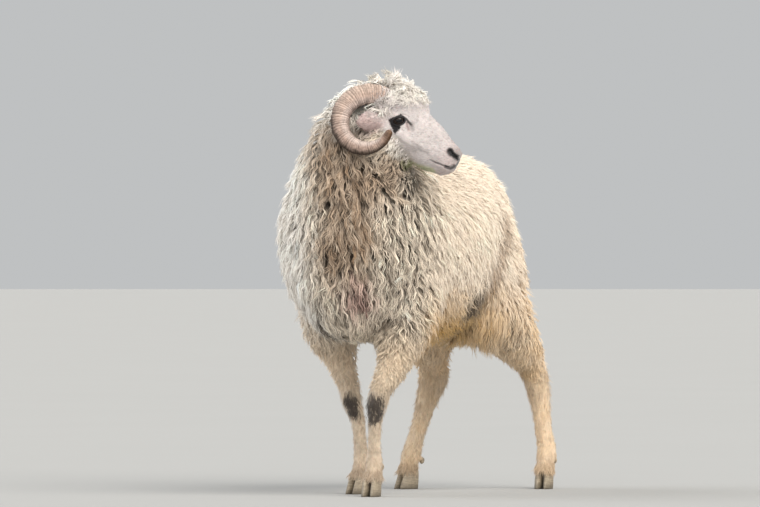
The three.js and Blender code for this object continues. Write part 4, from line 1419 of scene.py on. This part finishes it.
def make_short_hair(name, pelt, weight, count, length, lift, draw, material):
    """Short hairs that lie almost flat and break the outline."""
    face, share = pelt.scatter(pelt.face_values(weight), count, draw)
    places = pelt.at(pelt.points, face, share)
    normals = unit(pelt.at(pelt.normals, face, share))
    zones = pelt.zones_at(face, share)
    lie = lie_of_coat(places, normals, zones)
    lie = unit(lie + draw.normal(0, 0.16, lie.shape))
    height = places[:, 2]
    size = length * draw.uniform(0.6, 1.25, count)
    size = size * (1 + 0.7 * (zones["shin"] + zones["thigh"]) * smooth_step(0.1, 0.24, height))
    size = size * (1 + 0.9 * smooth_step(0.066, 0.05, height))
    rise = lift * draw.uniform(0.35, 1.4, count) * size
    along = np.linspace(0, 1, 4)
    path = places[:, None] - normals[:, None] * 0.0004
    path = path + lie[:, None] * (size[:, None] * along)[..., None]
    path = path + normals[:, None] * (rise[:, None] * np.sin(along * 1.9))[..., None]
    path[..., 2] = np.maximum(path[..., 2], 0.001)
    outs = np.repeat(normals[:, None], len(along), axis=1)
    widths = HAIR_WIDTH * draw.uniform(0.7, 1.3, count)
    blades = Strands(path, outs, widths, draw.normal(0, 0.4, count), 0.3)
    tint = coat_colours(places, zones, pelt.colours)
    tint = np.clip(tint * (1 + draw.normal(0, 0.06, count))[:, None], 0.004, 0.95)
    # Painted shade: each hair is darker at its root
    tint = np.clip(blades.each(tint) * (0.8 + 0.22 * blades.along)[:, None], 0.004, 0.95)
    fibre = blades.each(draw.uniform(0, 90, count)) + 0.6 * blades.lateral
    spots = pelt.spot_at(face, share)
    return blades.piece(name, material, tint, fibre, spots, 0.0012 * blades.lateral)


# ---- where the coat grows ------------------------------------------------------------------
HAIR_WIDTH = 0.0011
NEAR_HORNS = ("neck", "chest", "topknot", "cheeks", "horn")  # areas kept clear of the horns


def thin_wool(points):
    """Where gaps show between the locks: in the matted and folded places of the front."""
    x, y, z = points.T
    front = smooth_step(-0.2, -0.3, y) * smooth_step(-0.11, -0.03, x) * smooth_step(0.34, 0.4, z)
    gaps = 0.8 * front * smooth_step(0.0, 0.5, wobble(points, 0.06, 16))
    gaps = np.maximum(gaps, in_blobs(points, MATTED_AND_SHADED))
    return np.maximum(gaps, 1.35 * blob(points, *DARK_KNOT))


def fleece_areas(pelt):
    """Which part of the skin each piece of the fleece covers, as weights at its vertices."""
    x, y, _ = pelt.points.T
    down = pelt.soft_normals[:, 2]
    zone = pelt.zone
    wool = (np.clip(zone("face") + zone("shin"), 0, 1) < 0.5).astype(float)
    neck = (zone("neck") + zone("nape") > 0.5) * wool
    limb = (zone("thigh") > 0.5) * wool
    tail = (zone("tail") > 0.5) * wool
    topknot = (zone("topknot") > np.maximum(0.4, zone("nape"))) * wool * (1 - neck)
    cheek = (zone("cheek") > 0.35) * (1 - neck) * (1 - topknot)
    rest = wool * (1 - neck) * (1 - limb) * (1 - tail) * (1 - topknot) * (1 - cheek)
    rest = rest * (zone("trunk") > 0.5)
    front, low, hind = y < -0.16, down < -0.62, y > 0.2
    left, fore = x > SPINE, y < 0.1
    local = to_head(pelt.points)
    cuff = (twin_gap(local, HORN_ROOT) < 30) * (np.abs(local[:, 0]) > 16) * (local[:, 1] > 10)
    open_wool = 1 - 0.45 * thin_wool(pelt.points)
    neck, chest = neck * open_wool, rest * front * open_wool
    flank = rest * ~front * ~low * ~hind
    return {
        "fleece_neck_left": neck * (x > 0.0), "fleece_neck_right": neck * (x <= 0.0),
        "fleece_chest_left": chest * left, "fleece_chest_right": chest * ~left,
        "fleece_flank_left": flank * left, "fleece_flank_right": flank * ~left,
        "fleece_rump": rest * ~front * ~low * hind, "fleece_belly": rest * ~front * low,
        "fleece_tail": tail,
        "fleece_forelegs": limb * fore, "fleece_hindlegs": limb * ~fore,
        "fleece_topknot": topknot, "fleece_cheeks": cheek,
        "fleece_horn_cuffs": cuff.astype(float),
        "fleece_flank_folds": wool * (blob(pelt.points, *FLANK_FOLD) > 0.3),
    }


def fleece_styles(sizes):
    """The look of the locks in each area of the fleece."""
    side, width, crimp = sizes.side_length, sizes.strand_width, sizes.crimp

    def neck_length(places, zones):
        high = np.clip(zones["nape"] + smooth_step(0.72, 0.82, places[:, 2]), 0, 1)
        knot = np.maximum(blob(places, *DARK_KNOT), 0.8 * blob(places, *THROAT))
        return sizes.front_length * mixed(1.0, 0.62, high) * mixed(1.0, 0.52, knot)

    def leg_length(places, zones):
        return mixed(0.009, sizes.leg_length, smooth_step(0.225, 0.43, places[:, 2]))

    def crown_length(places, zones):
        return sizes.crown_length * mixed(0.5, 1.0, np.clip(zones["topknot"], 0, 1))

    def cheek_length(places, zones):
        return mixed(0.008, 0.02, np.clip(zones["cheek"], 0, 1))

    def same(length):
        return lambda places, zones: np.full(len(places), length)

    front_style = {
        "spacing": 0.0086, "length": neck_length, "lift": (0.6, 1.2), "steps": 6, "strands": 7,
        "crimp": crimp, "wave": 0.029, "radius": 0.0062, "width": 0.82 * width, "stray": 0.2,
        "gather": 0.68, "unrest": 0.18, "tips": 0.3, "thick": 0.38, "sag": 0.0,
    }
    side_style = {
        **front_style, "spacing": 0.0078, "length": same(side), "steps": 5, "strands": 6,
        "lift": (0.66, 1.0), "crimp": 0.75 * crimp, "wave": 0.024, "radius": 0.0082,
        "width": 0.88 * width, "gather": 0.14, "tips": 0.15, "thick": 0.2,
    }
    leg_style = {
        **side_style, "spacing": 0.0066, "length": leg_length, "lift": (0.5, 1.1), "strands": 4,
        "radius": 0.0040, "width": 0.62 * width, "gather": 0.4, "unrest": 0.2, "stray": 0.32,
        "tips": 0.6, "thick": 0.3,
    }
    curls = {
        **front_style, "spacing": 0.0050, "length": crown_length, "lift": (0.6, 1.3),
        "strands": 10, "crimp": 0.0032, "wave": 0.014, "radius": 0.0052, "width": 0.7 * width,
        "stray": 0.35, "gather": 0.2, "unrest": 0.4, "tips": 0.25, "thick": 0.4,
    }
    cheek = {
        **leg_style, "spacing": 0.0048, "length": cheek_length, "lift": (0.4, 1.1),
        "strands": 5, "width": 0.65 * width, "radius": 0.003, "wave": 0.013, "crimp": 0.0018,
        "gather": 0.5, "unrest": 0.25,
    }
    folds = {
        **leg_style, "length": same(0.05), "sag": 0.02, "lift": (0.8, 1.6), "strands": 7,
        "spacing": 0.008, "radius": 0.006, "stray": 0.18, "tips": 0.4,
    }
    chest = {**front_style, "spacing": 0.0088}
    return {
        "fleece_neck_left": front_style, "fleece_neck_right": front_style,
        "fleece_chest_left": chest, "fleece_chest_right": chest,
        "fleece_flank_left": side_style, "fleece_flank_right": side_style,
        "fleece_rump": {**side_style, "length": same(1.05 * side)},
        "fleece_belly": {**side_style, "length": same(0.7 * side), "sag": 0.006, "strands": 5},
        "fleece_tail": {
            **side_style, "length": same(0.9 * side), "spacing": 0.0075, "strands": 5,
        },
        "fleece_forelegs": leg_style, "fleece_hindlegs": leg_style,
        "fleece_topknot": curls, "fleece_cheeks": cheek,
        "fleece_horn_cuffs": {**curls, "length": same(0.034), "unrest": 0.5, "lift": (0.9, 2.0)},
        "fleece_flank_folds": folds,
    }


def short_hair_areas(pelt, length):
    """The pieces of short hair: slot, weights at the vertices, number, length and lift."""
    local, height = to_head(pelt.points), pelt.points[:, 2]
    dry = np.clip(1 - 2 * face_marks(local)[2], 0, 1)
    dry = dry * smooth_step(15, 22, twin_gap(local, EYE_SPOT))
    face = pelt.zone("face") * (1 - pelt.zone("ear")) * dry
    shins = pelt.zone("shin") + pelt.zone("thigh") * smooth_step(0.28, 0.25, height)
    shins = shins * smooth_step(0.028, 0.036, height) * (1 + 5 * smooth_step(0.064, 0.048, height))
    return {
        "hair_shins": ("shin", shins, 11000, length, 0.24),
        "hair_face": ("face", face, 4500, 0.6 * length, 0.12),
        "hair_ears": ("face", pelt.zone("ear"), 2600, 0.7 * length, 0.16),
    }


# ---- stage ---------------------------------------------------------------------------------
CAMERA_PLACE = (8.6027, -15.0974, 0.571)
CAMERA_LOOK = (-0.5, 0.8660254, -0.00294)
CAMERA_LENS = 378.9
CAMERA_SENSOR = 36.0
FLOOR_RADIUS = 60
SUNS = (  # name, setting of the strength, direction, softness in degrees and colour
    ("key_light", "key", (0.78, -0.30, 0.88), 50, (1.0, 0.955, 0.89)),
    ("side_light", "rim", (-0.85, -0.40, 0.70), 60, (0.97, 0.98, 1.0)),
    ("fill_light", "fill", (0.45, -0.85, 0.35), 70, (1.0, 0.98, 0.95)),
)


def aim(stage_object, place, target):
    """Places an object and turns it to look at a target."""
    stage_object.location = place
    direction = Vector(target) - Vector(place)
    stage_object.rotation_euler = direction.to_track_quat("-Z", "Y").to_euler()


def make_stage(stage):
    """A plain pale floor, soft lights, the surroundings and the camera."""
    shape = bmesh.new()
    bmesh.ops.create_circle(shape, cap_ends=True, segments=96, radius=FLOOR_RADIUS)
    floor = linked("floor", mesh_of(shape, "floor"))
    dressed(floor, floor_material(stage.floor))
    world = bpy.data.worlds.new("studio")
    world.use_nodes = True
    backdrop = world.node_tree.nodes["Background"]
    backdrop.inputs["Color"].default_value = opaque(stage.sky)
    backdrop.inputs["Strength"].default_value = stage.sky_strength
    scene = bpy.context.scene
    scene.world = world
    scene.view_settings.view_transform = "Standard"
    for name, strength, towards, softness, colour in SUNS:
        light = bpy.data.lights.new(name, "SUN")
        light.energy = getattr(stage, strength)
        light.angle, light.color = math.radians(softness), colour
        aim(linked(name, light), 6 * Vector(towards).normalized(), (0, 0, 0.5))
    camera = linked("camera", bpy.data.cameras.new("camera"))
    camera.data.lens, camera.data.sensor_width = CAMERA_LENS, CAMERA_SENSOR
    camera.data.clip_end = 200
    aim(camera, CAMERA_PLACE, Vector(CAMERA_PLACE) + Vector(CAMERA_LOOK))
    scene.camera = camera


# ---- operators -----------------------------------------------------------------------------
def finished_pelt():
    """The skin that is in the scene, ready to grow its coat."""
    return Pelt(bpy.data.objects[SKIN_NAME].data, settings("skin"), settings("colours"))


class RAM_OT_skin(bpy.types.Operator):
    """Make the skin with its folds, lids and markings"""

    bl_idname = "ram.skin"
    bl_label = "Skin"

    def execute(self, context):
        finished(make_skin(settings("skin"), settings("colours")), "wool", *FLESH)
        return {"FINISHED"}


class RAM_OT_horns(bpy.types.Operator):
    """Make the ringed horns"""

    bl_idname = "ram.horns"
    bl_label = "Horns"

    def execute(self, context):
        sizes, colours, material = settings("horns"), settings("colours"), horn_material()
        for side, label in SIDES:
            horn = make_horn(side, f"curled_horn_{label}", sizes, colours, material)
            finished(horn, "horn", f"horn_{label}")
        return {"FINISHED"}


class RAM_OT_eyes(bpy.types.Operator):
    """Make the eyes"""

    bl_idname = "ram.eyes"
    bl_label = "Eyes"

    def execute(self, context):
        material = eye_material()
        for side, label in SIDES:
            finished(make_eye(side, f"eyeball_{label}", material), "eye", f"eye_{label}")
        return {"FINISHED"}


class RAM_OT_hooves(bpy.types.Operator):
    """Make the claws and dewclaws of the four feet"""

    bl_idname = "ram.hooves"
    bl_label = "Hooves"

    def execute(self, context):
        material = hoof_material(settings("colours"))
        for leg, kind, (_, side) in itertools.product(LEGS, ("claw", "dewclaw"), SIDES):
            node = f"{leg}_{kind}_{side}"
            finished(make_hoof(node, f"horn_{node}", material), "hoof", node)
        return {"FINISHED"}


class RAM_OT_fleece(bpy.types.Operator):
    """Make the wool locks of the body, topknot and cheeks"""

    bl_idname = "ram.fleece"
    bl_label = "Fleece"

    def execute(self, context):
        sizes = settings("fleece")
        pelt, material = finished_pelt(), wool_material("wool")
        horns, styles = horn_shapes(settings("horns")), fleece_styles(sizes)
        for number, (name, weight) in enumerate(fleece_areas(pelt).items()):
            draw = np.random.default_rng(sizes.seed + number)
            keep_off = horns if name.split("_")[1] in NEAR_HORNS else []
            locks = make_locks(name, pelt, weight, styles[name], draw, keep_off, material)
            finished(locks, "wool")
        return {"FINISHED"}


class RAM_OT_short_hair(bpy.types.Operator):
    """Make the short hair of the shins, face and ears"""

    bl_idname = "ram.short_hair"
    bl_label = "Short hair"

    def execute(self, context):
        sizes = settings("fleece")
        pelt, material = finished_pelt(), wool_material("short_hair_tufts")
        draw = np.random.default_rng(sizes.seed + 100)
        for name, (slot_name, *look) in short_hair_areas(pelt, sizes.hair_length).items():
            finished(make_short_hair(name, pelt, *look, draw, material), slot_name)
        return {"FINISHED"}


class RAM_OT_stage(bpy.types.Operator):
    """Make the floor, lights, surroundings and camera"""

    bl_idname = "ram.stage"
    bl_label = "Stage"

    def execute(self, context):
        make_stage(settings("stage"))
        return {"FINISHED"}


class RAM_PT_panel(bpy.types.Panel):
    """Lists the settings and the steps that make the ram"""

    bl_idname = "RAM_PT_panel"
    bl_label = "Woolly ram"
    bl_space_type = "VIEW_3D"
    bl_region_type = "UI"
    bl_category = "Ram"

    def draw(self, context):
        for part in SETTINGS:
            box = self.layout.box()
            box.label(text=part.capitalize())
            group = settings(part)
            for name in group.__annotations__:
                box.prop(group, name)
        for step in STEPS:
            self.layout.operator(step.bl_idname)


SETTINGS = {
    "skin": RamSkinSettings, "fleece": RamFleeceSettings, "horns": RamHornSettings,
    "colours": RamColourSettings, "stage": RamStageSettings,
}
STEPS = (
    RAM_OT_skin, RAM_OT_horns, RAM_OT_eyes, RAM_OT_hooves, RAM_OT_fleece, RAM_OT_short_hair,
    RAM_OT_stage,
)


def register():
    """Registers the settings, operators and panel."""
    for kind in (*SETTINGS.values(), *STEPS, RAM_PT_panel):
        bpy.utils.register_class(kind)
    for part, group in SETTINGS.items():
        setattr(bpy.types.Scene, f"ram_{part}", PointerProperty(type=group))


def unregister():
    """Takes the settings, operators and panel away again."""
    for part in SETTINGS:
        delattr(bpy.types.Scene, f"ram_{part}")
    for kind in reversed((*SETTINGS.values(), *STEPS, RAM_PT_panel)):
        bpy.utils.unregister_class(kind)


def main():
    """Makes the ram."""
    register()
    for step in STEPS:
        group, name = step.bl_idname.split(".")
        getattr(getattr(bpy.ops, group), name)()


if __name__ == "__main__":
    main()
